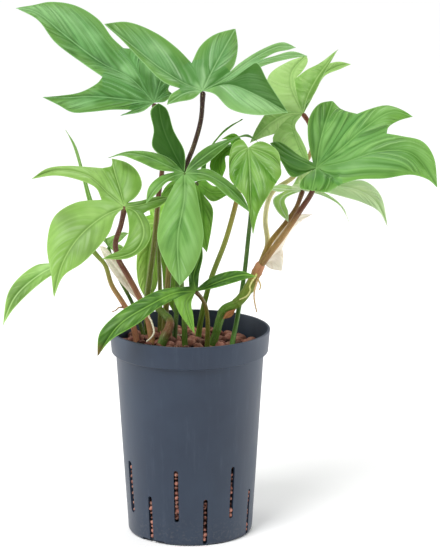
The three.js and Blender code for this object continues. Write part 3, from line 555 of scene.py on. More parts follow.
# %% Relief and thickness
GROOVE_MM = 0.45
GROOVE_WIDTH_MM = 1.4
BLADE_MM = 0.5
VEIN_START_MM = 5.0
VEIN_END = 3.0
LEAN_AT_HUB = 0.45
LEAN_GAIN = 1.1
FORWARD_BEND = 0.3


def vein_count(along, across, t, share, vein_mm, slant):
    """How many side veins lie between the hub and a spot."""
    lean = slant * (LEAN_AT_HUB + LEAN_GAIN * share)
    return (along - lean * across * (1 + FORWARD_BEND * t)) / vein_mm


def close_blade(middle, normals, faces, thickness):
    """Both faces of a blade and the rim that joins them, and the edges that the rim follows."""
    count = len(middle)
    places = np.vstack([middle + normals * thickness / 2, middle - normals * thickness / 2])
    open_edges = {}
    for face in faces:
        for a, b in edges_of(face):
            if open_edges.pop((b, a), None) is None:
                open_edges[a, b] = True
    lower = [[index + count for index in reversed(face)] for face in faces]
    rim = [[b, a, a + count, b + count] for a, b in open_edges]
    return places, [*faces, *lower, *rim], list(open_edges)


def copied_corners(faces, open_edges):
    """For each corner of the closed blade, the corner of the sheet whose knowledge it takes."""
    corner_points = np.concatenate(faces)
    knows = {}
    for corner, index in enumerate(corner_points):
        knows.setdefault(int(index), corner)
    starts = np.cumsum([0, *[len(face) for face in faces]])
    order = list(range(len(corner_points)))
    for first, last in zip(starts, starts[1:]):
        order.extend(range(last - 1, first - 1, -1))
    for a, b in open_edges:
        order.extend([knows[b], knows[a], knows[a], knows[b]])
    return np.array(order)


def make_blade(name, leaf, finish, veins, relief_mm, thickness=BLADE_MM, step=LEAF_STEP_MM):
    """A closed blade with grooves, side veins and an upper and a lower face."""
    sheet = weave_sheet(leaf, step)
    places = soften(np.array(sheet.places), sheet.faces, sheet.pinned, sheet.ribs)
    normals = point_normals(places, sheet.faces)
    along, across, t, to_edge, shade, share = np.array(sheet.corners).T
    veins = vein_count(along, across, t, share, *veins)
    fade_in, fade_out = np.clip(across / VEIN_START_MM, 0, 1), np.clip((1 - t) * VEIN_END, 0, 1)
    waves = np.cos(2 * np.pi * veins) * fade_in * fade_out
    groove = GROOVE_MM * np.exp(-((across / GROOVE_WIDTH_MM) ** 2))
    height = np.zeros(len(places))
    height[np.concatenate(sheet.faces)] = relief_mm * waves - groove
    height[0] = -GROOVE_MM
    middle = places + normals * height[:, None]
    both, faces, open_edges = close_blade(middle, normals, sheet.faces, thickness)
    order = copied_corners(sheet.faces, open_edges)
    under = np.where(np.arange(len(order)) < len(along), 0.0, 1.0)
    uv_maps = {
        "blade": np.stack([along[order] * MM, across[order] * MM], axis=1),
        "veins": np.stack([veins[order], t[order]], axis=1),
        "margin": np.stack([to_edge[order], shade[order]], axis=1),
        "side": np.stack([under, share[order]], axis=1),
    }
    sharp = [*open_edges, *[(a + len(places), b + len(places)) for a, b in open_edges]]
    return stand_for(add_mesh(name + "_blade", both, faces, uv_maps, finish, sharp), name)


# %% [markdown]
# ## The leaf finish
# A fresh blade of this plant is mid green with paler ribs, faint side veins, brushed streaks
# between them and a thin pale margin. It is waxy, so a broad sheen moves over the ribs. Part of
# that sheen is painted in as pale patches and glare, and the pleats are painted darker in their
# valleys and paler on their ridges, as painted shade and painted light. The underside is paler
# and duller. An image could show all this, but the leaf's own UV maps say how far each spot lies
# from the rib, the margin and the nearest vein, so nodes can paint it at its true scale on every
# leaf, and one function serves all of them with other colours.

# %% Paint a leaf
LEAF_SHINE = 0.16
GLARE_WHITE = srgb("cfe4c4")
VEIN_WOBBLE = 2.2
PATCH_SCALE = 24.0
UNDERSIDE_PALE = 0.6
UNDERSIDE_SHARE = 0.6
UNDERSIDE_DULL = 0.18
DARK_DULL = 0.3
GLOSS_FROM, GLOSS_TO = -0.06, 0.08
WAVE_RISE = 0.75
THIN_RISE = 0.2
BROAD_RISE = 0.4
PLEAT_RISE = 0.8
CREASE_RISE = -0.5


def streaks_along(tree, veins, t, count, stretch, seed, detail=3.0):
    """Noise drawn out along the side veins."""
    place = join(tree, times(tree, veins, count), times(tree, t, stretch), seed)
    return noise(tree, place, scale=1.0, detail=detail, roughness=0.55)


def leaf_finish(name, greens, seed, tip=None):
    """A waxy blade in five greens: face, streak, deep for darker patches and painted shade in folds, pale
    for ribs and painted light, rim for margins.
    """
    face, streak, deep, pale, rim = (srgb(paint) for paint in greens["paints"])
    pleats, gloss = greens["pleats"], greens["gloss"]
    ribbed = min(1.0, pleats)
    material, tree = new_finish(name, gloss, LEAF_SHINE)
    along, across, _ = uv_values(tree, "blade")
    veins, t, _ = uv_values(tree, "veins")
    to_edge, shade, _ = uv_values(tree, "margin")
    under, share, _ = uv_values(tree, "side")
    wobble = streaks_along(tree, veins, t, count=0.45, stretch=0.6, seed=seed + 2, detail=0.0)
    veins = plus(tree, veins, times(tree, wobble, VEIN_WOBBLE))
    broad = streaks_along(tree, veins, t, count=0.9, stretch=0.5, seed=seed)
    thin = streaks_along(tree, veins, t, count=6.0, stretch=1.6, seed=seed + 5)
    creases = streaks_along(tree, veins, t, count=2.2, stretch=0.25, seed=seed + 9, detail=1.0)
    patches = noise(tree, object_place(tree), PATCH_SCALE)

    inner = times(tree, ramp(tree, across, 0.001, 0.005), ramp(tree, t, 1.0, 0.75))
    # How lit a lobe half is painted: the pale rib, the pale hub and the painted glare fade out on halves
    # painted dark.
    lit = ramp(tree, shade, -1.0, -0.3, 0.15, 1.0)
    wave = maths(tree, "COSINE", times(tree, veins, 2 * math.pi))
    wave = times(tree, wave, inner, ramp(tree, broad, 0.42, 0.62, 0.15, 1.0))
    # Pale patches towards the rib: painted sheen.
    painted_sheen = times(tree, ramp(tree, patches, 0.5, 0.66, 0.0, 0.6), ramp(tree, t, 0.95, 0.5))
    # Dark lines along some pleats: painted shade in their creases.
    crease_shade = times(tree, ramp(tree, creases, 0.54, 0.74, 0.0, 0.5 * ribbed), inner)
    vein = times(tree, ramp(tree, wave, 0.9, 1.0, 0.0, greens["lines"]), inner)
    rib = times(tree, ramp(tree, across, 0.0002, 0.0009, 0.6, 0.0), lit)
    hub = times(tree, ramp(tree, along, 0.002, 0.012, 0.5, 0.0), lit)
    # Whitish glare over the middle of each half: a painted highlight.
    glare = ramp(tree, creases, 0.5, 0.28, 0.0, greens["glare"])
    glare = times(tree, glare, ramp(tree, t, 0.8, 0.4), inner, lit)
    rows = [
        (broad, 0.38, 0.58, streak),
        (to_edge, 1.0, 13.0, 0.75, 0.0, rim),
        (share, 0.55, 0.95, 0.0, 0.6, rim),
        (patches, 0.47, 0.3, 0.0, 0.6, deep),
        (painted_sheen, pale),
        # Darker pleat valleys and paler ridges: painted shade and painted light of the pleats.
        (wave, -0.3, -1.0, 0.0, 0.6 * pleats, deep),
        (wave, 0.2, 1.0, 0.0, 0.5 * pleats, pale),
        (crease_shade, deep),
        (vein, pale),
        (thin, 0.52, 0.75, 0.0, 0.15 + 0.15 * ribbed, deep),
        (thin, 0.46, 0.25, 0.0, 0.12 + 0.13 * ribbed, pale),
        # Each lobe half darker or paler by its shade: partly its own tone, partly painted shade and painted
        # light.
        (shade, 0.0, -1.0, 0.0, 0.9, deep),
        (shade, 0.0, 1.0, 0.0, 0.8, pale),
        # A darker band beside the rib: painted shade along its groove.
        (across, 0.0008, 0.0035, 0.35, 0.0, deep),
        (rib, pale),
        (hub, pale),
        (to_edge, 0.3, 1.0, 0.6, 0.0, pale),
        (glare, tuple((a + b) / 2 for a, b in zip(pale, GLARE_WHITE))),
    ]
    if tip:
        rows.append((along, *tip))
    colour = coats(tree, face, rows)
    duller = mix_colours(tree, UNDERSIDE_PALE, colour, pale)
    colour = mix_colours(tree, times(tree, under, UNDERSIDE_SHARE), colour, duller)
    rough = plus(
        tree, ramp(tree, broad, 0.3, 0.7, gloss + GLOSS_FROM, gloss + GLOSS_TO),
        times(tree, under, UNDERSIDE_DULL), ramp(tree, shade, -0.4, -1.0, 0.0, DARK_DULL),
    )
    height = plus(
        tree, times(tree, wave, WAVE_RISE * pleats), times(tree, thin, THIN_RISE),
        times(tree, broad, BROAD_RISE + PLEAT_RISE * ribbed), times(tree, crease_shade, CREASE_RISE),
    )
    return complete(material, colour, height, strength=1.0, depth_mm=1.0, rough=rough)


# %% [markdown]
# ## The leaves
# Each leaf is written as the builder of a wire model would bend it: the hub, the sinuses, then
# the lobes in clockwise order seen on the upper face. A lobe has the points of its rib, of its
# left margin and of its right margin, and the shades of its left and right half. A shade goes
# from -1, a darker green, to 1, paler. It holds partly the leaf's own tone and partly painted
# shade and painted light: halves that face away from the light, halves under other leaves, and
# the lit and the shaded side of a folded lobe. One sinus lies between each lobe and the next.
# Each point has three numbers in millimetres, and a comma stands between points.

# %% How a leaf is written down
def read_points(text):
    return [[float(word) for word in point.split()] for point in text.split(",") if point]


def lobe(rib, left, right, left_shade=0.0, right_shade=None):
    shades = (left_shade, left_shade if right_shade is None else right_shade)
    return read_points(rib), read_points(left), read_points(right), shades


def leaf(hub, sinuses, *lobes):
    return dict(hub=read_points(hub)[0], sinuses=read_points(sinuses), lobes=lobes)


LEAVES = {}


# %% [markdown]
# ### The three leaves that stand highest
# The two highest leaves spread flat like open hands and show their upper faces. The leaf behind
# them on the right is the newest, still soft and half folded, with narrow upright lobes.

# %% The three leaves that stand highest
LEAVES["leaf_top_left"] = leaf(
    "-33 48 394", "-55 32 390, -80 42 419, -62 78 440, -19 66 407",
    lobe("-47 34 390, -63 20 387", "-44 28 389", "-53 30 390", 0.1),
    lobe("-59 36 399, -91 28 403, -114 22 403, -134 18 404",
         "-71 26 391, -91 20 390, -107 18 390, -120 18 397", "-85 34 414, -100 27 407, -118 21 405"),
    lobe("-54 54 415, -82 64 428, -116 76 452, -144 86 473, -162 90 476",
         "-98 60 428, -125 70 447, -141 80 466",
         "-72 76 450, -85 84 466, -107 92 478, -130 94 481, -147 92 478", -0.15, 0.15),
    lobe("-26 68 414, -19 84 428, -13 94 436", "-48 80 439, -30 92 441", "-9 76 418"),
    lobe("-25 52 398, -16 54 401", "-20 58 404", "-23 48 395"),
)
LEAVES["leaf_top"] = leaf(
    "12 0 413", "-8 -6 416, 2 20 435, 36 14 427, 63 18 437, 37 -6 422",
    lobe("-3 -12 413, -20 -22 404", "3 -16 408, -10 -20 406", "-17 -14 411", 0.15),
    lobe("-5 4 419, -27 10 432, -54 16 453, -77 20 471", "-23 -2 421, -42 6 438, -61 14 457",
         "-12 22 449, -31 26 462, -56 24 472", 0.1),
    lobe("19 10 426, 30 28 444, 42 46 463", "10 32 449, 23 42 458", "41 26 433, 44 38 447", -0.1),
    lobe("30 8 421, 60 22 440, 82 30 449, 97 30 448", "46 20 435, 66 30 446, 85 34 452",
         "79 26 444, 90 28 446", 0.4),
    lobe("37 2 422, 66 10 438, 87 14 443, 107 12 443", "78 18 442, 93 18 446", "68 6 435, 88 10 440",
         0.4),
    lobe("35 -20 422, 62 -42 415, 88 -58 403", "55 -22 439, 61 -28 443, 70 -42 429",
         "24 -30 414, 37 -46 404, 61 -60 401", -0.75, 0.4),
)
LEAVES["leaf_pale"] = leaf(
    "105 60 382", "84 44 374, 82 58 385, 97 86 409, 107 71 389",
    lobe("95 50 376, 98 40 362, 110 28 337", "97 46 372, 102 40 363, 108 34 350", "76 30 362, 87 24 347",
         0.9, 0.4),
    lobe("91 52 383, 74 40 376, 55 22 361", "80 38 368, 67 28 365", "72 46 386, 62 34 374", 0.9, 0.3),
    lobe("99 70 393, 94 82 406, 96 94 417, 109 106 429", "72 70 395, 73 84 413, 91 98 424",
         "105 94 416, 110 102 424", 0.8),
    lobe("109 69 396, 117 78 410, 127 86 423, 138 92 437", "108 86 418, 121 90 424",
         "114 71 396, 122 81 410, 127 86 419", 0.2, -0.5),
    lobe("110 86 391, 117 99 402, 127 107 412, 140 111 418, 151 112 420",
         "106 90 394, 114 104 408, 127 110 419, 139 113 422",
         "113 82 391, 120 95 403, 127 103 411, 141 108 416", 0.4),
)
print("leaves so far:", len(LEAVES))

# %% [markdown]
# ### The broad leaf at the right and the one under it
# The broad leaf at the right has four long fingers joined by deep webs, ribbed like cloth. The
# pale one under it hangs behind and shows mostly its narrow lobes.

# %% The broad leaf at the right and the one under it
LEAVES["leaf_right"] = leaf(
    "115 -10 344", "112 -7 348, 154 44 384, 180 20 370, 136 -46 336",
    lobe("103 -14 350, 88 -18 358, 73 -16 368", "104 -22 341, 92 -32 340, 83 -28 353",
         "100 -6 354, 90 -6 362, 81 -10 368", -0.5),
    lobe("118 8 359, 124 34 376, 132 58 394", "108 14 367, 110 38 382, 120 54 392", "139 54 387", -0.4,
         -0.05),
    lobe("137 4 358, 160 20 375, 186 34 388, 205 36 383", "166 42 389, 181 44 392, 194 40 389",
         "182 26 375, 192 32 380", -0.1, 0.25),
    lobe("141 -14 350, 171 -6 358, 202 0 355, 225 -10 326", "194 12 369, 212 8 365, 222 0 352",
         "151 -40 339, 176 -30 338, 201 -18 339, 216 -14 334", 0.45, 0.25),
    lobe("113 -32 339, 110 -44 330", "123 -48 329", "101 -30 336, 100 -40 331", -0.35),
)
LEAVES["leaf_under_right"] = leaf(
    "104 16 318", "87 8 319, 94 20 321, 116 34 322, 120 18 317",
    lobe("90 8 317, 82 0 311, 90 -10 294", "87 2 312, 90 -6 302", "76 -2 313, 80 -8 303", -0.4),
    lobe("90 10 320, 71 -4 324", "82 2 319", "83 8 325", 0.3),
    lobe("111 40 325, 119 56 334", "104 48 329", "122 46 326", -0.1),
    lobe("127 26 319, 150 34 316, 170 36 305, 183 30 281", "143 38 322, 162 44 321, 176 42 309",
         "142 24 310, 159 28 304, 174 28 296", 0.5),
    lobe("121 10 316, 136 8 309, 142 6 301, 146 4 291", "130 12 312, 141 8 303", "123 8 314, 138 6 305",
         0.2),
)
print("leaves so far:", len(LEAVES))

# %% [markdown]
# ### The heart and the star in the middle
# The small heart shaped leaf hangs with its tip down, in front of all. The star beside it has a
# long middle lobe and thin arms, one of which stands up dark behind its hub. Two more leaves
# hide behind them and show between.

# %% The heart and the star in the middle
LEAVES["leaf_heart"] = leaf(
    "53 -45 369", "78 -68 342, 41 -64 338",
    lobe("65 -48 366, 76 -54 361, 82 -60 353", "63 -42 374, 72 -46 372, 80 -54 366", "82 -64 348", 0.35),
    lobe("54 -58 351, 55 -74 324, 57 -84 298", "72 -76 334, 62 -80 317", "49 -72 330, 53 -76 320"),
    lobe("45 -46 365, 38 -50 357, 36 -56 348", "37 -60 343", "47 -38 375, 40 -40 372, 36 -48 361", -0.15),
)
LEAVES["leaf_star"] = leaf(
    "-4 -35 344", "6 -37 347, 5 -44 338, -12 -44 338, -13 -40 346, -9 -33 349",
    lobe("10 -30 355, 24 -22 364, 40 -12 371, 53 -7 373, 62 -8 368",
         "4 -26 356, 15 -18 364, 28 -10 368, 42 -10 372, 53 -6 374",
         "17 -32 353, 29 -24 362, 42 -12 371, 53 -8 372", -0.5),
    lobe("14 -42 344, 32 -50 336, 46 -56 324, 55 -60 313", "16 -36 348, 30 -42 342, 46 -50 329",
         "17 -50 340, 32 -60 330, 47 -62 319", -0.35),
    lobe("-4 -54 325, -10 -68 291, -8 -74 249", "10 -56 313, 13 -64 291, 5 -70 265",
         "-24 -56 313, -28 -64 289, -19 -70 265", 0.35),
    lobe("-17 -46 342, -29 -56 334, -38 -64 322", "-19 -50 339, -28 -60 331", "-26 -42 342, -36 -54 334",
         -0.05),
    lobe("-19 -38 351, -37 -42 360, -54 -46 364, -72 -50 361", "-28 -46 349, -44 -50 357, -61 -50 363",
         "-19 -30 357, -35 -34 363, -54 -42 365", 0.05),
    lobe("-15 -22 363, -24 -8 382, -28 4 401", "-33 -18 364, -32 -8 378, -35 2 395",
         "-4 -24 361, -14 -10 378, -21 4 396", -1),
)
LEAVES["leaf_behind_star"] = leaf(
    "7 -8 330", "14 -4 332, 12 -10 320, -3 -14 324",
    lobe("12 1 344, 20 9 361, 33 14 375, 49 13 385", "11 0 343, 16 5 352, 20 9 361, 27 12 369, 36 14 378",
         "17 5 353, 27 11 368, 36 13 376", -1),
    lobe("20 -4 320, 35 4 320, 48 10 325", "22 0 325, 37 6 325", "21 -6 312, 33 0 316", 0.1),
    lobe("11 -14 309, 12 -18 288, 16 -22 268", "21 -12 307, 20 -16 289, 18 -20 278",
         "-1 -14 306, 2 -20 287", 0.1),
    lobe("-6 -12 330, -17 -16 326, -27 -20 316", "-12 -16 324, -20 -20 319", "-12 -10 333, -22 -16 327",
         0.2),
)
LEAVES["leaf_behind_heart"] = leaf(
    "50 -8 355", "44 -12 352, 38 -4 365, 53 -2 360",
    lobe("57 -16 338, 60 -24 312", "66 -16 332", "48 -16 329"),
    lobe("40 -10 363, 30 -14 358, 27 -18 348, 30 -22 338", "33 -16 356, 33 -20 346",
         "30 -10 363, 21 -14 355, 19 -18 344", 0.1),
    lobe("44 -1 364, 39 3 370, 29 4 368", "35 1 368", "41 4 373"),
    lobe("62 -4 357, 75 -4 352", "62 -2 362", "66 -10 346"),
)
print("leaves so far:", len(LEAVES))

# %% [markdown]
# ### The leaves at the left
# Three leaves lean out to the left: a fresh one with a broad drooping lobe, a plain one below it
# that almost touches the pot, and a slender one of which little but a thin lobe shows.

# %% The leaves at the left
LEAVES["leaf_left"] = leaf(
    "-58 -30 312", "-79 -28 318, -79 -2 342, -56 -27 315, -41 -40 308",
    lobe("-77 -44 306, -99 -58 289, -113 -66 267, -121 -68 237",
         "-66 -42 306, -72 -54 292, -94 -66 269, -112 -70 257",
         "-102 -36 317, -121 -46 306, -127 -56 282, -123 -64 256", 0.4),
    lobe("-73 -20 322, -92 -16 338, -119 -18 343, -142 -26 337", "-84 -24 328, -98 -24 335, -120 -26 340",
         "-94 -6 344, -112 -12 346, -129 -20 345", 0.4),
    lobe("-63 -16 325, -68 -4 338, -71 4 350", "-70 2 344",
         "-49 -24 319, -43 -14 328, -47 -4 339, -57 4 346", -0.25),
    lobe("-44 -32 314, -31 -28 317, -17 -24 320", "-44 -28 317, -31 -25 320", "-37 -38 310, -26 -32 313",
         -0.55),
    lobe("-47 -46 310, -40 -60 295, -47 -72 281, -63 -78 276, -77 -80 275",
         "-36 -50 302, -34 -60 292, -40 -70 282, -54 -78 275",
         "-55 -42 306, -54 -56 293, -60 -68 281, -70 -76 278", -0.4),
)
LEAVES["leaf_far_left"] = leaf(
    "-90 5 264", "-101 6 264, -94 18 273",
    lobe("-111 -6 257, -136 -24 248, -158 -38 230, -169 -44 205",
         "-118 -14 250, -137 -32 240, -159 -42 220", "-122 0 254, -141 -15 254, -163 -34 236", 0.15),
    lobe("-99 16 273, -107 24 287", "-106 14 276", "-98 22 283", -0.1),
    lobe("-87 17 271, -83 26 284", "-92 22 280", "-80 19 276", -0.1),
)
LEAVES["leaf_slender"] = leaf(
    "-76 34 261", "-78 38 268, -72 32 262",
    lobe("-87 36 284, -92 38 304, -100 42 332, -107 46 357, -115 48 369",
         "-85 35 274, -94 38 301, -101 42 330, -108 46 354", "-91 40 306, -99 44 333, -106 47 355", -0.3),
    lobe("-67 38 269, -57 40 273", "-71 42 270, -63 42 273", "-65 34 266"),
    lobe("-67 28 261, -58 24 260", "-65 26 265", "-66 24 257"),
)
print("leaves so far:", len(LEAVES))

# %% [markdown]
# ### The low leaf and the hidden one
# One old dark leaf lies low across the rim of the pot, its tip dry and brown. Behind the stalks
# hangs a pale leaf that shows in strips.

# %% The low leaf and the hidden one
LEAVES["leaf_low"] = leaf(
    "6 -52 239", "-14 -60 233, 0 -50 243, 8 -50 242",
    lobe("-3 -60 230, 0 -66 218, 5 -70 204", "2 -58 230, 4 -66 218", "-8 -66 221", 0.7),
    lobe("-12 -58 239, -35 -68 230, -62 -76 214, -82 -80 186", "-28 -68 227, -46 -78 215, -70 -82 201",
         "-26 -56 241, -46 -64 233, -67 -70 220, -80 -76 206", 0.05),
    lobe("4 -48 253, 8 -44 264, 12 -40 278", "0 -46 253, 5 -43 264", "9 -47 254, 12 -42 267", -0.3),
    lobe("15 -48 242, 35 -44 249, 49 -42 252, 61 -40 250", "18 -45 249, 32 -41 254, 46 -40 255",
         "21 -50 241, 39 -46 245, 51 -42 248", -0.1),
)
LEAVES["leaf_back"] = leaf(
    "-30 40 283", "-41 46 267, -37 54 287, -17 52 283",
    lobe("-37 42 261, -40 46 236, -41 48 207", "-30 42 239, -32 46 219",
         "-46 42 266, -50 46 244, -48 50 221", 0.2),
    lobe("-47 50 277, -58 54 268", "-50 48 268", "-49 52 283"),
    lobe("-28 62 295, -24 72 307", "-38 64 294", "-19 64 299"),
    lobe("-22 42 258, -17 46 225, -15 48 194", "-9 44 265, -7 46 236", "-26 44 235, -24 46 212", -0.4),
)
print("leaves so far:", len(LEAVES))


# %% [markdown]
# ## Make all the blades
# The greens differ from leaf to leaf, as on the plant: the newest leaf at the back is almost
# yellow, the leaves in front are fresh green, and the low old one is dark with a dry tip. The
# leaf under the right one and the leaf behind the star lie in the shade of others and are given
# lighter greens than their own, as painted light.

# %% Colours of each leaf, and the blades
def look(paints, veins, relief, pleats, lines, gloss, glare):
    """Face, streak, deep, pale and rim, the step and slant of the side veins, the relief in
    millimetres, how strong pleats and vein lines are, the roughness, and the share of glare."""
    names = ("paints", "veins", "relief", "pleats", "lines", "gloss", "glare")
    return dict(zip(names, (paints.split(), veins, relief, pleats, lines, gloss, glare)))


GREENS = {
    "top_left": look("497a35 679e59 234c1a 8cbf7b 679543", (15, 1.9), 0.3, 0.8, 0.12, 0.42, 0.25),
    "top": look("4e833b 6c9f60 2a5912 95c181 679542", (14, 1.7), 0.22, 0.5, 0.12, 0.42, 0.4),
    "pale": look("67953c 7fab56 598630 a7cb7c 82aa56", (6, 0.4), 0.2, 0.6, 0.4, 0.45, 0.15),
    "right": look("437828 609649 295d0a 82b360 6c9d3f", (26, 2.4), 0.34, 1.15, 0.15, 0.42, 0.2),
    # Lighter than its own green: painted light, for it lies in the shade of the right leaf.
    "under_right": look("cce094 dceab0 98c060 e8f4d8 98c864", (9, 1.6), 0.2, 0.6, 0.2, 0.45, 0.15),
    "heart": look("477a1e 6a9c3e 264f0c 8cb360 689335", (13, 1.9), 0.25, 0.15, 0.05, 0.32, 0.35),
    "star": look("497e2e 6fa24e 1d4807 8ab86c 69953e", (13, 1.2), 0.2, 0.25, 0.15, 0.42, 0.25),
    # Lighter than its own green: painted light, for it lies in the shade of the star.
    "behind_star": look("5f9e30 78b240 2c5c10 8cc054 80b444", (9, 1.5), 0.2, 0.5, 0.15, 0.42, 0.15),
    "behind_heart": look("3c740c 54901c 245808 6ea030 5c9424", (9, 1.5), 0.2, 0.5, 0.15, 0.42, 0.15),
    "left": look("669531 80ad52 32570a a3c973 78a445", (14, 1.2), 0.2, 0.2, 0.15, 0.38, 0.25),
    "far_left": look("70a048 8fbe68 3f661b b8dd8f 86ae54", (13, 1.5), 0.2, 0.35, 0.15, 0.42, 0.15),
    "slender": look("6c9440 84b45a 4c7830 a0c678 7ca450", (7, 1.5), 0.12, 0.4, 0.15, 0.45, 0.15),
    "low": look("2e5716 45712b 183806 80b048 447024", (12, 1.7), 0.2, 0.6, 0.15, 0.4, 0.18),
    "back": look("78ac38 92c454 548818 aed070 96c44c", (9, 1.5), 0.15, 0.5, 0.15, 0.45, 0.15),
}
DRY_TIP = (0.098, 0.112, "6e5a34")
SEED_STEP = 3.7

for number, (key, greens) in enumerate(GREENS.items()):
    name = "leaf_" + key
    finish = leaf_finish(name + "_green", greens, SEED_STEP * number, DRY_TIP if key == "low" else None)
    blade = make_blade(name, LEAVES[name], finish, greens["veins"], greens["relief"])
    print(name, len(blade.data.polygons), "faces")

# %% [markdown]
# ## Stalks and stems
# A leaf stalk is round, smooth and a little thicker at both ends, where it bends to turn its
# blade to the light. Its colour runs along it: wine red or brown near some blades, green or
# golden near others. A bevelled curve would do, but a tube made ring by ring can swell where
# it should, and its UV map can say how far along and how far round each spot lies.

# %% A closed tube along a line
FEWEST_RINGS = 6
ROUND_END = ((0.45, 0.87), (0.85, 0.5))
TOP_SWELLING = 0.22
TOP_LENGTH_MM = 7.0
FOOT_SWELLING = 0.12
FOOT_LENGTH_MM = 16.0


def make_tube(name, points, radii, finish, sides=16, step=3.0, swell=None):
    """A round rod with rounded ends. The radius passes through the radii, plus a swelling."""
    length = line_length(points)
    steps = max(FEWEST_RINGS, round(length / step))
    centres = smooth_line(points, steps)
    share = np.linspace(0, 1, steps + 1)
    radius = np.interp(share, np.linspace(0, 1, len(radii)), radii)
    if swell:
        radius = radius * swell(share, length)
    turn = 2 * np.pi * np.arange(sides)[:, None] / sides
    side = np.array([1.0, 0.0, 0.0])
    rings, shares = [], []
    for row in range(steps + 1):
        along = unit(centres[min(row + 1, steps)] - centres[max(row - 1, 0)])
        side = unit(side - along * side.dot(along))
        outward = side * np.cos(turn) + np.cross(along, side) * np.sin(turn)
        before = [(-ahead, width) for ahead, width in ROUND_END[::-1]] if row == 0 else []
        after = ROUND_END if row == steps else []
        for ahead, width in (*before, (0.0, 1.0), *after):
            rings.append(centres[row] + along * radius[row] * ahead + outward * radius[row] * width)
            shares.append(share[row])
    pairs = []
    for low, high in zip(shares, shares[1:]):
        for k in range(sides):
            left, right = k / sides, (k + 1) / sides
            pairs.extend([(low, left), (low, right), (high, right), (high, left)])
    for end in (0.0, 1.0):
        for k in range(sides):
            pairs.extend([(end, 0.5), (end, k / sides), (end, k / sides)])
    places, faces = close_rings(rings, rings[0].mean(axis=0), rings[-1].mean(axis=0))
    return add_mesh(name, places, faces, {"stalk": pairs}, finish)


def stalk_swelling(share, length):
    """A stalk thickens over its last centimetre under the blade, and where it leaves the bed."""
    top = np.exp(-((share * length / TOP_LENGTH_MM) ** 2))
    foot = np.exp(-(((1 - share) * length / FOOT_LENGTH_MM) ** 2))
    return 1 + TOP_SWELLING * top + FOOT_SWELLING * foot


# %% [markdown]
# The skin of a stalk is drawn with long streaks and tiny flecks, so the noise is stretched
# along the stalk. The colours are given as stops from the blade, at 0, to the foot, at 1.

# %% Paint a stalk
STREAK_SCALE = 5.0
STREAK_STRETCH = 3.0
FLECK_SCALE = 900.0


def stalk_finish(name, stops, dark, light, roughness=0.42, seed=0.0):
    material, tree = new_finish(name, roughness)
    share, turn, _ = uv_values(tree, "stalk")
    angle = times(tree, turn, 2 * math.pi)
    drawn = times(tree, share, STREAK_STRETCH)
    ring = join(tree, maths(tree, "COSINE", angle), maths(tree, "SINE", angle), drawn)
    shift = {0: ring, 1: (seed, seed, 0)}
    moved = add_node(tree, "ShaderNodeVectorMath", shift, operation="ADD").outputs[0]
    streaks = noise(tree, moved, STREAK_SCALE, detail=4.0, roughness=0.6)
    flecks = noise(tree, object_place(tree), FLECK_SCALE)
    colours = add_node(tree, "ShaderNodeValToRGB", {"Fac": share})
    elements = colours.color_ramp.elements
    while len(elements) < len(stops):
        elements.new(0.5)
    for element, (position, text) in zip(elements, stops):
        element.position = position
        element.color = srgb(text)
    colour = coats(tree, colours.outputs[0], [
        (streaks, 0.5, 0.72, 0.0, 0.6, dark),
        (streaks, 0.46, 0.3, 0.0, 0.45, light),
        (flecks, 0.62, 0.7, 0.0, 0.35, light),
    ])
    return complete(material, colour, streaks, strength=0.3, depth_mm=0.6)


# %% [markdown]
# Each stalk is written from the hub of its blade down to the bed, or to the stem that carries
# it: its radii, its colours and its points. It ends just under the blade, so that its round
# top shows from below only.

# %% The lines of the stalks
STALK_DARK = "3a2410"
STALK_LIGHT = "b4b478"
STALK_SEED_STEP = 1.3
UNDER_BLADE_MM = 0.4


def rod(radii, colours, line):
    """Radii in millimetres, colours with their places from 0 to 1, and points."""
    stops = [stop.split() for stop in colours.split(",")]
    return radii, [(float(place), colour) for place, colour in stops], read_points(line)


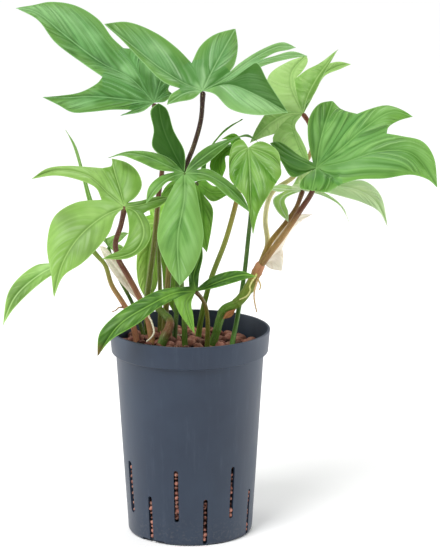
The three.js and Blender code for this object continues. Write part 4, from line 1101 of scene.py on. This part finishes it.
STALKS = {
    "petiole_top_left": rod(
        (2.1, 2.9), "0 4e2822, 0.38 5a3024, 0.48 746e2e, 0.7 6a7a2a, 1 46601c",
        "-33 48 393.5, -28.5 38 365.5, -25.5 31 336, -29 28 309.5, -32.5 26 269, -37 24 236.5, "
        "-40 24 212.5, -40 26 178, -40 26 170",
    ),
    "petiole_top": rod(
        (2.1, 2.9), "0 2e1614, 0.4 361a16, 0.5 5a3c22, 0.6 8a7432, 1 5e6420",
        "12.5 0 412.5, 10.5 -1 386.5, 4 -4 363, -3 -6 345, -11.5 -3 313, -17 1 274.5, -20 5 236, "
        "-24 9 178, -24 9 170",
    ),
    "petiole_pale": rod(
        (1.9, 2.6), "0 6e3424, 0.15 7e482e, 0.3 c8b878, 0.6 e4dcaa, 1 c8ba78",
        "104.5 60 382, 110.5 56 372.5, 112.5 46 350, 96.5 36 327.5, 75.5 28 313, 69.5 22 291, "
        "71.5 17 267.5, 66.5 15 251, 61 9 240, 57 4 234.5",
    ),
    "petiole_right": rod(
        (2.4, 3), "0 48241a, 0.4 6a3a26, 0.52 a07848, 0.7 b08a54, 1 7a5a2c",
        "114.5 -10 344, 112 -8 323, 100.5 -5 303, 86 -2 280, 71.5 0 260, 64 3 249",
    ),
    "petiole_under_right": rod(
        (2, 2.6), "0 5c3820, 0.4 8a6434, 0.7 b0904c, 1 9a8038",
        "104 16 318.5, 97.5 13 302, 86.5 11 286.5, 73.5 9 270, 65.5 7 251.5",
    ),
    "petiole_heart": rod(
        (2.2, 2.6), "0 985e30, 0.15 8e6830, 0.4 8c8c34, 0.7 6c8a2c, 1 547a24",
        "53 -45 368.5, 48.5 -26 340.5, 43 -22 316.5, 33 -14 278, 20.5 -4 242, 13 6 212.5, 7.5 16 178, "
        "7.5 16 170",
    ),
    "petiole_behind_heart": rod(
        (1.8, 2.3), "0 304e16, 0.5 447028, 1 54882c",
        "49.5 -8 355.5, 57 -2 326.5, 56 2 300.5, 53.5 6 273.5, 50.5 9 243.5, 46.5 11 216, 42.5 4 194, "
        "39 -8 178, 39 -8 170",
    ),
    "petiole_behind_star": rod(
        (1.8, 2.4), "0 4c5c20, 0.5 4c6c20, 1 3c5c18",
        "7 -8 330.5, 1.5 0 307.5, -6 6 273.5, -11 4 231.5, -12.5 0 204.5, -14.5 -6 178, -14.5 -6 170",
    ),
    "petiole_star": rod(
        (2, 2.6), "0 4c6c28, 0.5 5a7c2a, 1 486c20",
        "-4 -35 344.5, -6.5 -27 317.5, -8.5 -24 280, -7.5 -21 242, -5 -19 209, -4.5 -18 178, "
        "-4.5 -18 170",
    ),
    "petiole_left": rod(
        (2.3, 3), "0 5c2e22, 0.4 6c3828, 0.65 9c6844, 0.85 b88860, 1 84642e",
        "-58 -30 312.5, -62 -25 293.5, -67 -22 277, -65 -20 262.5, -56 -17 245, -45.5 -14 223.5, "
        "-39 -12 206.5, -34.5 -10 178, -34.5 -10 170",
    ),
    "petiole_far_left": rod(
        (1.9, 2.9), "0 6c8434, 0.22 8a8c40, 0.4 b08a54, 0.58 b87c5c, 1 98644c",
        "-89.5 5 264.5, -84 3 258.5, -77.5 0 251.5, -71.5 -2 233, -62 -3 217.5, -55 -4 205, "
        "-48.5 -6 178, -48.5 -6 170",
    ),
    "petiole_slender": rod(
        (1.5, 2), "0 54802c, 0.5 3c5c18, 1 446020",
        "-76 34 261, -71 24 247, -64.5 17 233.5, -52.5 10 211.5, -41.5 6 178, -41.5 6 170",
    ),
    "petiole_low": rod(
        (1.7, 2.3), "0 4c3418, 0.4 66621e, 1 547020",
        "5.5 -52 239, 9.5 -47 233.5, 14 -42 225, 16.5 -34 208, 16 -28 178, 16 -28 170",
    ),
    "petiole_back": rod(
        (1.7, 2.3), "0 6c8430, 0.5 6c7430, 1 5c6424",
        "-29.5 40 283.5, -29 33 263, -28 30 225.5, -28 28 178, -28 28 170",
    ),
}

for number, (name, (radii, stops, points)) in enumerate(STALKS.items()):
    skin = stalk_finish(name + "_skin", stops, STALK_DARK, STALK_LIGHT, seed=STALK_SEED_STEP * number)
    hub, below = np.array(points[0]), np.array(points[1])
    line = [hub + unit(below - hub) * (radii[0] + UNDER_BLADE_MM), *points[1:]]
    stand_for(make_tube(name + "_stalk", line, radii, skin, swell=stalk_swelling), name)
print("stalks:", len(STALKS))

# %% [markdown]
# The stems creep. The one at the right climbs out of the bed and carries three leaves. It is
# fat, green and ringed with scars at the places where leaves once stood.

# %% The stems
SCAR_STEP_MM = 17.0
SCAR_RISE = 0.1
SCAR_WIDTH_MM = 1.3
WAIST_DEPTH = 0.05
WAIST_WIDTH_MM = 2.0
WAIST_BELOW_MM = 3.0

STEMS = {
    "stem_right": rod(
        (4.3, 3.6, 4.4, 4.9, 4.6), "0 406a1a, 0.5 5c8826, 0.82 78862c, 0.94 a8744c, 1 b8805c",
        "20.5 -14 168, 20.5 -14 178, 24.5 -12 191, 27.5 -8 201.5, 31.5 -4 210, 42.5 0 215, "
        "52.5 1.5 226.5, 59.5 2.5 239.5, 64.5 3 250",
    ),
    "stem_middle": rod(
        (4.6, 4.2, 3.4), "0 36541a, 0.3 44661c, 0.45 6e4a30, 0.6 70462e, 0.72 4c6a1c, 1 5c7428",
        "-26 -22 168, -26 -22 178, -23.5 -21 187.5, -19.5 -17 194.5, -18 -11 200.5, -22.5 -4 205, "
        "-29.5 2 210.5",
    ),
}


def scars(share, length):
    """A low ring at each scar, with a waist just below it."""
    place = np.mod(share * length, SCAR_STEP_MM) - SCAR_STEP_MM / 2
    ring = np.exp(-((place / SCAR_WIDTH_MM) ** 2))
    waist = np.exp(-(((place + WAIST_BELOW_MM) / WAIST_WIDTH_MM) ** 2))
    return 1 + SCAR_RISE * ring - WAIST_DEPTH * waist


for name, (radii, stops, points) in STEMS.items():
    bark = stalk_finish(name + "_bark", stops, "5c4420", "a8a868", roughness=0.5)
    stand_for(make_tube(name + "_ringed", points, radii, bark, sides=28, step=1.0, swell=scars), name)
print("stems:", len(STEMS))

# %% [markdown]
# ## Dry sheaths
# When a leaf unrolls, the sheath that wrapped it stays at its foot and dries to a cream paper
# with fine lengthwise fibres and a few brown rims. It is woven like a blade, thinner and with
# lengthwise waves, so it crumples a little.

# %% Paint and make the sheaths
FIBRES_ALONG = 40.0
FIBRES_ACROSS = 900.0
STAIN_SCALE = 90.0
PAPER_FORM = dict(veins=(5.0, 1.5), relief_mm=0.15, thickness=0.4, step=7.0)


def sheath_finish(name, paper, fibre, stain):
    material, tree = new_finish(name, roughness=0.75, shine=0.2)
    along, across, _ = uv_values(tree, "blade")
    to_edge = uv_values(tree, "margin")[0]
    drawn = join(tree, times(tree, along, FIBRES_ALONG), times(tree, across, FIBRES_ACROSS))
    fibres = noise(tree, drawn, scale=1.0, detail=4.0, roughness=0.6)
    stains = noise(tree, object_place(tree), STAIN_SCALE, detail=3.0, roughness=0.6)
    colour = coats(tree, paper, [
        (fibres, 0.4, 0.75, 0.0, 0.6, fibre),
        (stains, 0.55, 0.75, 0.0, 0.5, stain),
        (to_edge, 0.1, 0.8, 0.4, 0.0, stain),
    ])
    return complete(material, colour, fibres, strength=0.6, depth_mm=0.6)


SHEATHS = {}
SHEATHS["cataphyll_right"] = leaf(
    "68 5 252", "85 8.5 265.5",
    lobe("78 5 269, 89 6 285, 99 8 293, 113 10 297", "75.5 4.5 269, 86.5 5.5 285, 98.5 8 296",
         "88.5 8 274, 94.5 9 283.5, 105 10 292.5"),
    lobe("76.5 8 253.5, 84.5 6 244.5", "86 9 256", "73.5 6 247"),
)
SHEATHS["cataphyll_left"] = leaf(
    "-42.5 -10 216", "",
    lobe("-56.5 -9 235.5, -70 -8 254, -82.5 -6 270.5", "-59 -9 232, -73.5 -8 251.5",
         "-53 -9 238.5, -66.5 -8 256.5, -77 -6 269.5"),
)
SHEATHS["sheath_scrap"] = leaf(
    "42.5 -5.5 211.5", "",
    lobe("36 -9 207.5, 30.5 -14 204", "38 -10 205", "33.5 -11 209.5"),
)

fresh_paper = sheath_finish("fresh_paper", "fbf4e4", "e6d6b4", "b8935c")
brown_paper = sheath_finish("brown_paper", "b07a4c", "8a5a34", "5a3418")
for name, sheath in SHEATHS.items():
    piece = make_blade(name, sheath, brown_paper if name == "sheath_scrap" else fresh_paper, **PAPER_FORM)
    print(name, len(piece.data.polygons), "faces")

# %% [markdown]
# ## Roots in the open
# Thin roots leave the stem above the pebbles and feel their way down. They are pale where they
# are new and tan where they have dried, hardly thicker than string, and never quite straight.

# %% The roots
ROOT_LIGHT = "f2ecd6"
# The rise of the bumps, their pace in radians for each millimetre, and where they start.
ROOT_BUMPS = ((0.12, 2.1, 0.0), (0.05, 5.3, 1.0))

ROOTS = {
    "root_yellow": rod(
        (0.9, 0.8, 0.6), "0 b9b860, 0.3 d8d88c, 1 d8d88c",
        "62 0 245, 60 -4 241, 57 -5.5 237, 55 -6.5 232.5, 55.5 -7 229.5, 52.5 -7 224, 46 -6.5 220.5",
    ),
    "root_tan": rod(
        (0.9, 0.8, 0.6), "0 9c7748, 0.3 c9a878, 1 c9a878",
        "61 0.5 240, 61.5 -4 236.5, 59.5 -7 229.5, 59 -8 223, 60 -9 216, 61.5 -9 209.5",
    ),
    "root_hook": rod(
        (0.9, 0.8, 0.6), "0 a48a4c, 0.3 c9b078, 1 c9b078",
        "61 0 241, 63.5 -3 237, 65 -4 232.5, 64 -4 229",
    ),
    "root_white": rod(
        (0.9, 0.9, 0.7), "0 c4b890, 0.3 e2dcc4, 1 e2dcc4",
        "-38.5 -13 209.5, -37 -17.5 206.5, -35 -20 203.5, -32.5 -24 194, -34.5 -26 190, -39 -27 186",
    ),
    "root_lying": rod(
        (0.9, 0.8, 0.7), "0 b09c74, 0.3 d8ccae, 1 d8ccae",
        "-35 5 183, -26 5.5 182.5, -18.5 4 184, -5.5 4 184",
    ),
    "root_small": rod(
        (0.9, 0.7, 0.5), "0 93683f, 0.3 caa07c, 1 caa07c",
        "-60 -3 212, -65 -7 213, -67.5 -8.5 211, -71 -9 209.5",
    ),
}


def root_bumps(share, length):
    """Small swellings, about one each three millimetres, and finer ones between."""
    return 1 + sum(rise * np.sin(share * length * pace + start) for rise, pace, start in ROOT_BUMPS)


for name, (radii, stops, points) in ROOTS.items():
    dark = stops[0][1]
    skin = stalk_finish(name + "_skin", stops, dark, ROOT_LIGHT, roughness=0.7)
    stand_for(make_tube(name + "_skinned", points, radii, skin, sides=10, step=0.8, swell=root_bumps), name)
print("roots:", len(ROOTS))

# %% [markdown]
# ## The pebbles
# The plant grows in fired clay pebbles: rounded, porous, brick red with a dusty film, 8 to
# 15 mm across. Each has a tint of its own and is mottled and pored. Each is painted dark towards
# its foot, as painted shade where it lies among its neighbours, and a little paler on its top,
# as painted light.

# %% The pebble finish
MOTTLE_SCALE = 260.0
PORE_SCALE = 1400.0
MOTTLE_RISE = 1.5


def stored_value(tree, label):
    node = add_node(tree, "ShaderNodeAttribute", attribute_name=label, attribute_type="GEOMETRY")
    return node.outputs["Fac"]


def pebble_finish(name):
    material, tree = new_finish(name, roughness=0.9, shine=0.15)
    where = object_place(tree)
    tint = stored_value(tree, "tint")
    crown = stored_value(tree, "crown")
    mottle = noise(tree, where, MOTTLE_SCALE, detail=4.0, roughness=0.6)
    pores = noise(tree, where, PORE_SCALE, detail=3.0, roughness=0.7)
    colour = coats(tree, "3a1e18", [
        (tint, 0.0, 1.0, "a0685a"),
        (mottle, 0.5, 0.75, 0.0, 0.6, "c89a88"),
        (mottle, 0.45, 0.3, 0.0, 0.6, "3a2016"),
        (pores, 0.62, 0.72, 0.0, 0.5, "3c2016"),
        # Painted shade towards the foot of each pebble, and painted light on its top.
        (crown, 0.4, -0.3, "1c0e08"),
        (crown, 0.6, 1.0, 0.0, 0.25, "cc9c8c"),
    ])
    height = plus(tree, times(tree, mottle, MOTTLE_RISE), pores)
    return complete(material, colour, height, strength=0.6, depth_mm=0.8)


# %% [markdown]
# Pebbles repeat, so Geometry Nodes make them: a rough ball is set on each place, turned and
# scaled at random from a fixed seed, made real and pushed about by noise. The ball notes how
# high each point stands above its middle, and each pebble a random tint, for the finish.

# %% The tree that sets a pebble on each place
SQUASH = ((0.85, 0.8, 0.7), (1.25, 1.05, 0.95))
TURN = ((-0.6, -0.6, 0.0), (0.6, 0.6, 6.28))
LUMP_SCALE = 170.0
LUMP_MIDDLE = 0.5
PEBBLE_SOCKETS = (
    ("Places", "NodeSocketGeometry", None),
    ("Smallest", "NodeSocketFloat", 0.0045),
    ("Largest", "NodeSocketFloat", 0.0068),
    ("Roughness depth", "NodeSocketFloat", 0.0026),
    ("Lift of the crown", "NodeSocketFloat", 0.0),
    ("Detail", "NodeSocketInt", 3),
    ("Seed", "NodeSocketInt", 1),
)


def drawn_vector(tree, least, most, seed):
    inputs = {0: least, 1: most, "Seed": seed}
    return add_node(tree, "FunctionNodeRandomValue", inputs, data_type="FLOAT_VECTOR").outputs[0]


def drawn_number(tree, least, most, seed):
    return add_node(tree, "FunctionNodeRandomValue", {2: least, 3: most, "Seed": seed}).outputs[1]


def scaled(tree, vector, factor):
    return add_node(tree, "ShaderNodeVectorMath", {0: vector, "Scale": factor}, operation="SCALE").outputs[0]


def with_value(tree, geometry, label, value, domain):
    """The geometry with a named value on each of its points or instances."""
    inputs = {"Geometry": geometry, "Name": label, "Value": value}
    node = add_node(tree, "GeometryNodeStoreNamedAttribute", inputs, data_type="FLOAT", domain=domain)
    return node.outputs[0]


def pebble_tree(name, finish):
    tree = bpy.data.node_groups.new(name, "GeometryNodeTree")
    sockets = {}
    for label, kind, value in PEBBLE_SOCKETS:
        socket = tree.interface.new_socket(name=label, in_out="INPUT", socket_type=kind)
        if value is not None:
            socket.default_value = value
        sockets[label] = socket.identifier
    tree.interface.new_socket(name="Pebbles", in_out="OUTPUT", socket_type="NodeSocketGeometry")
    given = add_node(tree, "NodeGroupInput").outputs
    seed = given["Seed"]
    place = add_node(tree, "GeometryNodeInputPosition").outputs[0]
    normal = add_node(tree, "GeometryNodeInputNormal").outputs[0]
    ball = add_node(tree, "GeometryNodeMeshIcoSphere", {"Radius": 1.0, "Subdivisions": given["Detail"]})
    up = plus(tree, split(tree, place)[2], given["Lift of the crown"])
    crowned = with_value(tree, ball.outputs[0], "crown", up, "POINT")
    size = drawn_number(tree, given["Smallest"], given["Largest"], seed)
    put = add_node(tree, "GeometryNodeInstanceOnPoints", {
        "Points": given["Places"],
        "Instance": crowned,
        "Rotation": drawn_vector(tree, *TURN, seed),
        "Scale": scaled(tree, drawn_vector(tree, *SQUASH, seed), size),
    })
    tinted = with_value(tree, put.outputs[0], "tint", drawn_number(tree, 0.0, 1.0, seed), "INSTANCE")
    real = add_node(tree, "GeometryNodeRealizeInstances", {0: tinted})
    lumps = plus(tree, noise(tree, place, LUMP_SCALE, detail=1.5), -LUMP_MIDDLE)
    push = scaled(tree, normal, times(tree, lumps, given["Roughness depth"]))
    moved = add_node(tree, "GeometryNodeSetPosition", {"Geometry": real.outputs[0], "Offset": push})
    smooth = add_node(tree, "GeometryNodeSetShadeSmooth", {"Geometry": moved.outputs[0]})
    painted = add_node(tree, "GeometryNodeSetMaterial", {"Geometry": smooth.outputs[0], "Material": finish})
    add_node(tree, "NodeGroupOutput", {0: painted.outputs[0]})
    return tree, sockets


pebble_nodes, pebble_sockets = pebble_tree("set_pebbles", pebble_finish("fired_clay"))


def made_real(thing):
    """The mesh that a thing has once its modifiers have worked."""
    return bpy.data.meshes.new_from_object(thing.evaluated_get(bpy.context.evaluated_depsgraph_get()))


def set_pebbles(name, places_mm, **sizes):
    """A plain mesh of pebbles, one on each place."""
    spots = bpy.data.meshes.new(name + "_spots")
    spots.from_pydata(np.asarray(places_mm) * MM, [], [])
    maker = add_object(name + "_maker", spots)
    modifier = maker.modifiers.new("pebbles", "NODES")
    modifier.node_group = pebble_nodes
    for label, value in sizes.items():
        modifier[pebble_sockets[label]] = value
    mesh = made_real(maker)
    bpy.data.objects.remove(maker)
    return add_object(name, mesh)


# %% [markdown]
# The pebbles have to fit the pot, so its sizes come first. Its wall tapers to the foot, and
# fourteen slots pierce it, seven high and seven low in turn. The one at the far left is wider.

# %% Sizes of the pot and its slots
POT_HEIGHT_MM = 192.0
SHOULDER_RADIUS_MM = 68.2
SHOULDER_HEIGHT_MM = 167.0
FOOT_RADIUS_MM = 57.5
WALL_MM = 2.4
SLOT_COUNT = 14
SLOT_WIDTH_MM = 4.2
WIDE_SLOT = 0
WIDE_SLOT_MM = 6.8
FIRST_SLOT_DEG = -63.0
HIGH_SLOT_MM = (23.0, 73.0)
LOW_SLOT_MM = (1.5, 45.0)


def wall_radius(z):
    """Outer radius of the pot's wall below its shoulder."""
    return FOOT_RADIUS_MM + (SHOULDER_RADIUS_MM - FOOT_RADIUS_MM) * z / SHOULDER_HEIGHT_MM


def slot_angle(k):
    """The angle of a slot, 0 facing the front and positive to the right."""
    return math.radians(FIRST_SLOT_DEG + 360.0 / SLOT_COUNT * k)


def slot_span(k):
    return HIGH_SLOT_MM if k % 2 == 0 else LOW_SLOT_MM


def out_at(angle, away, aside=0.0):
    """A place some way out from the pot's axis at an angle, and some way aside of that line."""
    x = away * math.sin(angle) + aside * math.cos(angle)
    return x, -away * math.cos(angle) + aside * math.sin(angle)


# %% [markdown]
# The top of the bed is level near the wall and heaped behind and to the left of the middle.
# Pebbles sit on a sunflower spiral, which spreads them evenly with no rows. A second layer, a
# little lower and smaller, fills the gaps.

# %% Shape of the bed
BED_TOP_MM = 175.0
HEAP_MM = 8.0
HEAP_CENTRE_MM = (-24.0, 0.0)
HEAP_RADIUS_MM = 50.0
GOLDEN_ANGLE = 2.39996
BED_REACH_MM = 62.5
PLAY_MM = 1.2
SINK_MM = 1.6
UPPER = dict(count=112, drop=2.2, turn=0.0)
UPPER_SIZES = dict(Seed=4, Smallest=0.0046, Largest=0.0068)
LOWER = dict(count=120, drop=6.5, turn=1.3)
LOWER_SIZES = dict(Seed=9, Smallest=0.0044, Largest=0.006, Detail=2)
draw = random.Random(11)


def bed_height(x, y):
    away = math.hypot(x - HEAP_CENTRE_MM[0], y - HEAP_CENTRE_MM[1]) / HEAP_RADIUS_MM
    return BED_TOP_MM + HEAP_MM * math.exp(-away * away)


def play():
    return draw.uniform(-PLAY_MM, PLAY_MM)


def spiral(count, drop, turn):
    """Places on the heaped top, on a sunflower spiral with a little play."""
    spots = []
    for k in range(count):
        away = math.sqrt((k + 0.5) / count) * BED_REACH_MM
        angle = k * GOLDEN_ANGLE + turn
        x = away * math.cos(angle) + play()
        y = away * math.sin(angle) + play()
        spots.append((x, y, bed_height(x, y) - drop + draw.uniform(-SINK_MM, PLAY_MM)))
    return spots


upper = set_pebbles("pebbles_upper", spiral(**UPPER), **UPPER_SIZES)
lower = set_pebbles("pebbles_lower", spiral(**LOWER), **LOWER_SIZES)
print("pebbles:", len(upper.data.polygons), len(lower.data.polygons), "faces")

# %% [markdown]
# Behind each slot stand three columns of small pebbles, close to the wall. Broken chips are
# wedged in the slots themselves. They are seen from the side, so their crowns are lifted, or
# the shade at their feet would make them black.

# %% Pebbles behind the slots
COLUMN_ASIDE_MM = (-7.0, 0.0, 7.0)
COLUMN_INSET_MM = 4.5
COLUMN_STEP_MM = 7.4
COLUMN_PLAY_MM = 1.0
LOWEST_COLUMN_MM = 5.0
CHIP_STEP_MM = (3.6, 6.4)
LOWEST_CHIP_MM = 3.0
CHIP_INSET_MM = 2.6
SIDE_CHIP_INSET_MM = 2.4
SIDE_SINE = 0.75
SLOT_END_MM = 3.0
COLUMN_SIZES = dict(Seed=21, Smallest=0.0038, Largest=0.005, Detail=2)
CHIP_SIZES = {"Seed": 31, "Smallest": 0.0017, "Largest": 0.0025, "Detail": 2, "Lift of the crown": 0.75}

spots = []
for k in range(SLOT_COUNT):
    bottom, top = slot_span(k)
    z = max(bottom, LOWEST_COLUMN_MM) + SLOT_END_MM
    while z < top + SLOT_END_MM:
        away = wall_radius(z) - WALL_MM - COLUMN_INSET_MM
        for aside in COLUMN_ASIDE_MM:
            angle = slot_angle(k) + (aside + play()) / away
            spots.append((*out_at(angle, away), z + draw.uniform(-COLUMN_PLAY_MM, COLUMN_PLAY_MM)))
        z += COLUMN_STEP_MM
chips = []
for k in range(SLOT_COUNT):
    bottom, top = slot_span(k)
    z = max(bottom, LOWEST_CHIP_MM) + SLOT_END_MM
    inset = CHIP_INSET_MM if abs(math.sin(slot_angle(k))) < SIDE_SINE else SIDE_CHIP_INSET_MM
    while z < top - SLOT_END_MM:
        chips.append((*out_at(slot_angle(k), wall_radius(z) - inset), z))
        z += draw.uniform(*CHIP_STEP_MM)
wedged = set_pebbles("chips_in_slots", chips, **CHIP_SIZES)
behind = set_pebbles("pebbles_behind_slots", spots, **COLUMN_SIZES)
print("pebbles behind the slots:", len(spots))

# %% [markdown]
# A dark crumbly body under all of them stands for what lies deeper. Its near black is painted shade, so the
# gaps between the pebbles look dark. Its top follows the heap.

# %% The dark body of the bed
BODY_RINGS = 14
BODY_SIDES = 56
BODY_FOOT_MM = 3.6
FOOT_LEVEL_MM = 4.0
BODY_TOP_MM = 165.0
FOOT_INSET_MM = 9.0
TOP_INSET_MM = 1.5
BODY_DROP_MM = 9.0
DEEP_SCALE = 320.0


def bed_body(finish):
    foot_reach = wall_radius(FOOT_LEVEL_MM) - WALL_MM - FOOT_INSET_MM
    top_reach = wall_radius(BODY_TOP_MM) - WALL_MM - TOP_INSET_MM
    rings = [circle(foot_reach, BODY_FOOT_MM, BODY_SIDES), circle(top_reach, BODY_TOP_MM, BODY_SIDES)]
    for ring in range(BODY_RINGS):
        level = circle(top_reach * (1 - ring / BODY_RINGS), 0.0, BODY_SIDES)
        rings.append([(x, y, bed_height(x, y) - BODY_DROP_MM) for x, y, _ in level])
    tips = (0.0, 0.0, BODY_FOOT_MM), (0.0, 0.0, bed_height(0, 0) - BODY_DROP_MM)
    return add_mesh("bed_body", *close_rings(rings, *tips), {}, finish)


def painted_shade_finish(name):
    material, tree = new_finish(name, roughness=0.95, shine=0.1)
    crumbs = noise(tree, object_place(tree), DEEP_SCALE, detail=4.0, roughness=0.6)
    # Near black to dark brown: painted shade in the depth of the bed.
    colour = mix_colours(tree, crumbs, "1c120c", "4a2c1e")
    return complete(material, colour, crumbs, strength=0.8, depth_mm=2.0)


body = bed_body(painted_shade_finish("painted_shade_bed"))
for piece in (upper, lower, behind, wedged, body):
    stand_for(piece, "pebble_bed")
print("bed body:", len(body.data.polygons), "faces")

# %% [markdown]
# ## The pot
# A culture pot is moulded thin: a straight taper, a step out to the collar, a rounded lip, and
# slots for water cut through the lower wall. It is a body of revolution, so its profile is spun
# in code with many sides, and the slots are cut by a boolean. The plain solid has 56 flat sides,
# which the shine would show, so this finer one takes its place.

# %% Spin the profile
COLLAR_HEIGHT_MM = 171.0
COLLAR_RADIUS_MM = 72.2
RIM_RADIUS_MM = 74.0
UNDERCUT_MM = 2.4
POT_SIDES = 168
POT_FLOOR_MM = 3.0
CORNER_STEPS = 4
CORNER_RADII_MM = (3.5, 0.5, 0.9, 0.7, 0.7, 1.2, 1.2, 1.0)


def corner(inner, turn, outer, radius):
    """A rounded corner of a profile, from a point before it to a point after it."""
    before, at, after = (np.array(point, float) for point in (inner, turn, outer))
    start = at + unit(before - at) * radius
    end = at + unit(after - at) * radius
    shares = np.linspace(0, 1, CORNER_STEPS + 1)
    return [tuple((1 - s) ** 2 * start + 2 * s * (1 - s) * at + s ** 2 * end) for s in shares]


def rounded(points, radii):
    """A profile with each inner corner rounded by its radius."""
    line = [points[0]]
    for before, at, after, radius in zip(points, points[1:], points[2:], radii):
        line.extend(corner(before, at, after, radius))
    return [*line, points[-1]]


pot_profile = rounded([
    (0.0, 0.0),
    (FOOT_RADIUS_MM, 0.0),
    (SHOULDER_RADIUS_MM, SHOULDER_HEIGHT_MM + UNDERCUT_MM),
    (COLLAR_RADIUS_MM, COLLAR_HEIGHT_MM),
    (RIM_RADIUS_MM, POT_HEIGHT_MM),
    (RIM_RADIUS_MM - WALL_MM, POT_HEIGHT_MM),
    (COLLAR_RADIUS_MM - WALL_MM, COLLAR_HEIGHT_MM),
    (SHOULDER_RADIUS_MM - WALL_MM, SHOULDER_HEIGHT_MM),
    (FOOT_RADIUS_MM - WALL_MM, POT_FLOOR_MM),
    (0.0, POT_FLOOR_MM),
], CORNER_RADII_MM)


def spin(name, profile, finish):
    rings = [circle(radius, z, POT_SIDES) for radius, z in profile[1:-1]]
    tips = [(0.0, 0.0, z) for _, z in (profile[0], profile[-1])]
    return add_mesh(name, *close_rings(rings, *tips), {}, finish)


# %% [markdown]
# The plastic is slate blue, evenly coloured and slightly satin. Up close it has a fine moulding
# grain, faint scuffs on the widest places and a little dust, so the shine is not one flat sheet.

# %% Paint the pot
CLOUD_SCALE = 14.0
GRAIN_SCALE = 1500.0
CRUMB_SCALE = 420.0
SCUFF_SCALE = 150.0
SCUFF_STRETCH = (1.0, 1.0, 0.12)
DUST_HEIGHT_M = 0.04
DUST_SHARE = 0.13


def pot_finish(name):
    material, tree = new_finish(name, roughness=0.42, shine=0.36)
    where = object_place(tree)
    cloud = noise(tree, where, CLOUD_SCALE, detail=3.0, roughness=0.6)
    grain = noise(tree, where, GRAIN_SCALE, detail=2.0, roughness=0.6)
    crumbs = noise(tree, where, CRUMB_SCALE, detail=3.0, roughness=0.6)
    drawn = add_node(tree, "ShaderNodeMapping", {0: where, "Scale": SCUFF_STRETCH}).outputs[0]
    scuffs = noise(tree, drawn, SCUFF_SCALE, detail=4.0, roughness=0.65)
    low_down = ramp(tree, split(tree, where)[2], DUST_HEIGHT_M, 0.0, 0.0, DUST_SHARE)
    colour = coats(tree, "273243", [
        (cloud, 0.3, 0.7, "2e3a4b"),
        (scuffs, 0.52, 0.75, 0.0, 0.18, "4a5666"),
        (times(tree, low_down, ramp(tree, crumbs, 0.5, 0.7)), "857f78"),
    ])
    rough = ramp(tree, cloud, 0.3, 0.7, 0.38, 0.48)
    return complete(material, colour, grain, strength=0.12, depth_mm=0.2, rough=rough)


# %% [markdown]
# Each slot is an upright opening with round ends, and three flat notches under the foot let
# water out. One mesh of bars, which reach through the wall, cuts them all at once.

# %% Bars that cut the slots
FOOT_NOTCH_FIRST_DEG = -49.0
FOOT_NOTCH_SWEEP_DEG = 25.0
FOOT_NOTCH_COUNT = 3
FOOT_NOTCH_MM = 2.8
NOTCH_BOTTOM_MM = -1.0
SLOT_END_STEPS = 6
CUTTER_REACH_MM = (FOOT_RADIUS_MM - 2 * WALL_MM, 80.0)


def stadium(width, bottom, top):
    """Outline of an upright slot with round ends, as pairs of aside and height."""
    half = width / 2
    turns = np.linspace(0, math.pi, SLOT_END_STEPS + 1)
    upper = [(half * math.cos(turn), top - half + half * math.sin(turn)) for turn in turns]
    lower = [(-half * math.cos(turn), bottom + half - half * math.sin(turn)) for turn in turns]
    return upper + lower


def box_outline(width, bottom, top):
    return [(width / 2, bottom), (width / 2, top), (-width / 2, top), (-width / 2, bottom)]


def slot_bars():
    """The angle and the outline of the bar for each slot and foot notch."""
    for k in range(SLOT_COUNT):
        width = WIDE_SLOT_MM if k == WIDE_SLOT else SLOT_WIDTH_MM
        yield slot_angle(k), stadium(width, *slot_span(k))
    notch_width = FOOT_RADIUS_MM * math.radians(FOOT_NOTCH_SWEEP_DEG)
    for k in range(FOOT_NOTCH_COUNT):
        middle = FOOT_NOTCH_FIRST_DEG + FOOT_NOTCH_SWEEP_DEG / 2 + 360.0 / FOOT_NOTCH_COUNT * k
        yield math.radians(middle), box_outline(notch_width, NOTCH_BOTTOM_MM, FOOT_NOTCH_MM)


def slot_cutters():
    shape = bmesh.new()
    for angle, outline in slot_bars():
        near, far = (
            [shape.verts.new(Vector((*out_at(angle, away, aside), z)) * MM) for aside, z in outline]
            for away in CUTTER_REACH_MM
        )
        for k in range(len(outline)):
            n = (k + 1) % len(outline)
            shape.faces.new([near[k], near[n], far[n], far[k]])
        shape.faces.new(near[::-1])
        shape.faces.new(far)
    bmesh.ops.recalc_face_normals(shape, faces=shape.faces)
    mesh = bpy.data.meshes.new("slot_cutters")
    shape.to_mesh(mesh)
    shape.free()
    return add_object("slot_cutters", mesh)


# %% [markdown]
# The bars are taken away from the spun pot, and the result becomes a plain mesh. Its faces are
# shaded smooth, with a crisp edge wherever two of them meet at more than a shallow angle.

# %% Cut the pot
SHARP_DEG = 32.0

whole_pot = spin("pot_whole", pot_profile, pot_finish("slate_plastic"))
cutters = slot_cutters()
cut = whole_pot.modifiers.new("slots", "BOOLEAN")
cut.object = cutters
cut.operation = "DIFFERENCE"
cut.solver = "EXACT"
cut.use_self = True
pot_mesh = made_real(whole_pot)
bpy.data.objects.remove(whole_pot)
bpy.data.objects.remove(cutters)
shape = bmesh.new()
shape.from_mesh(pot_mesh)
for edge in shape.edges:
    edge.smooth = len(edge.link_faces) != 2 or edge.calc_face_angle() < math.radians(SHARP_DEG)
for face in shape.faces:
    face.smooth = True
shape.to_mesh(pot_mesh)
shape.free()
stand_for(add_object("pot_moulded", pot_mesh), "culture_pot")
print("pot:", len(pot_mesh.polygons), "faces")
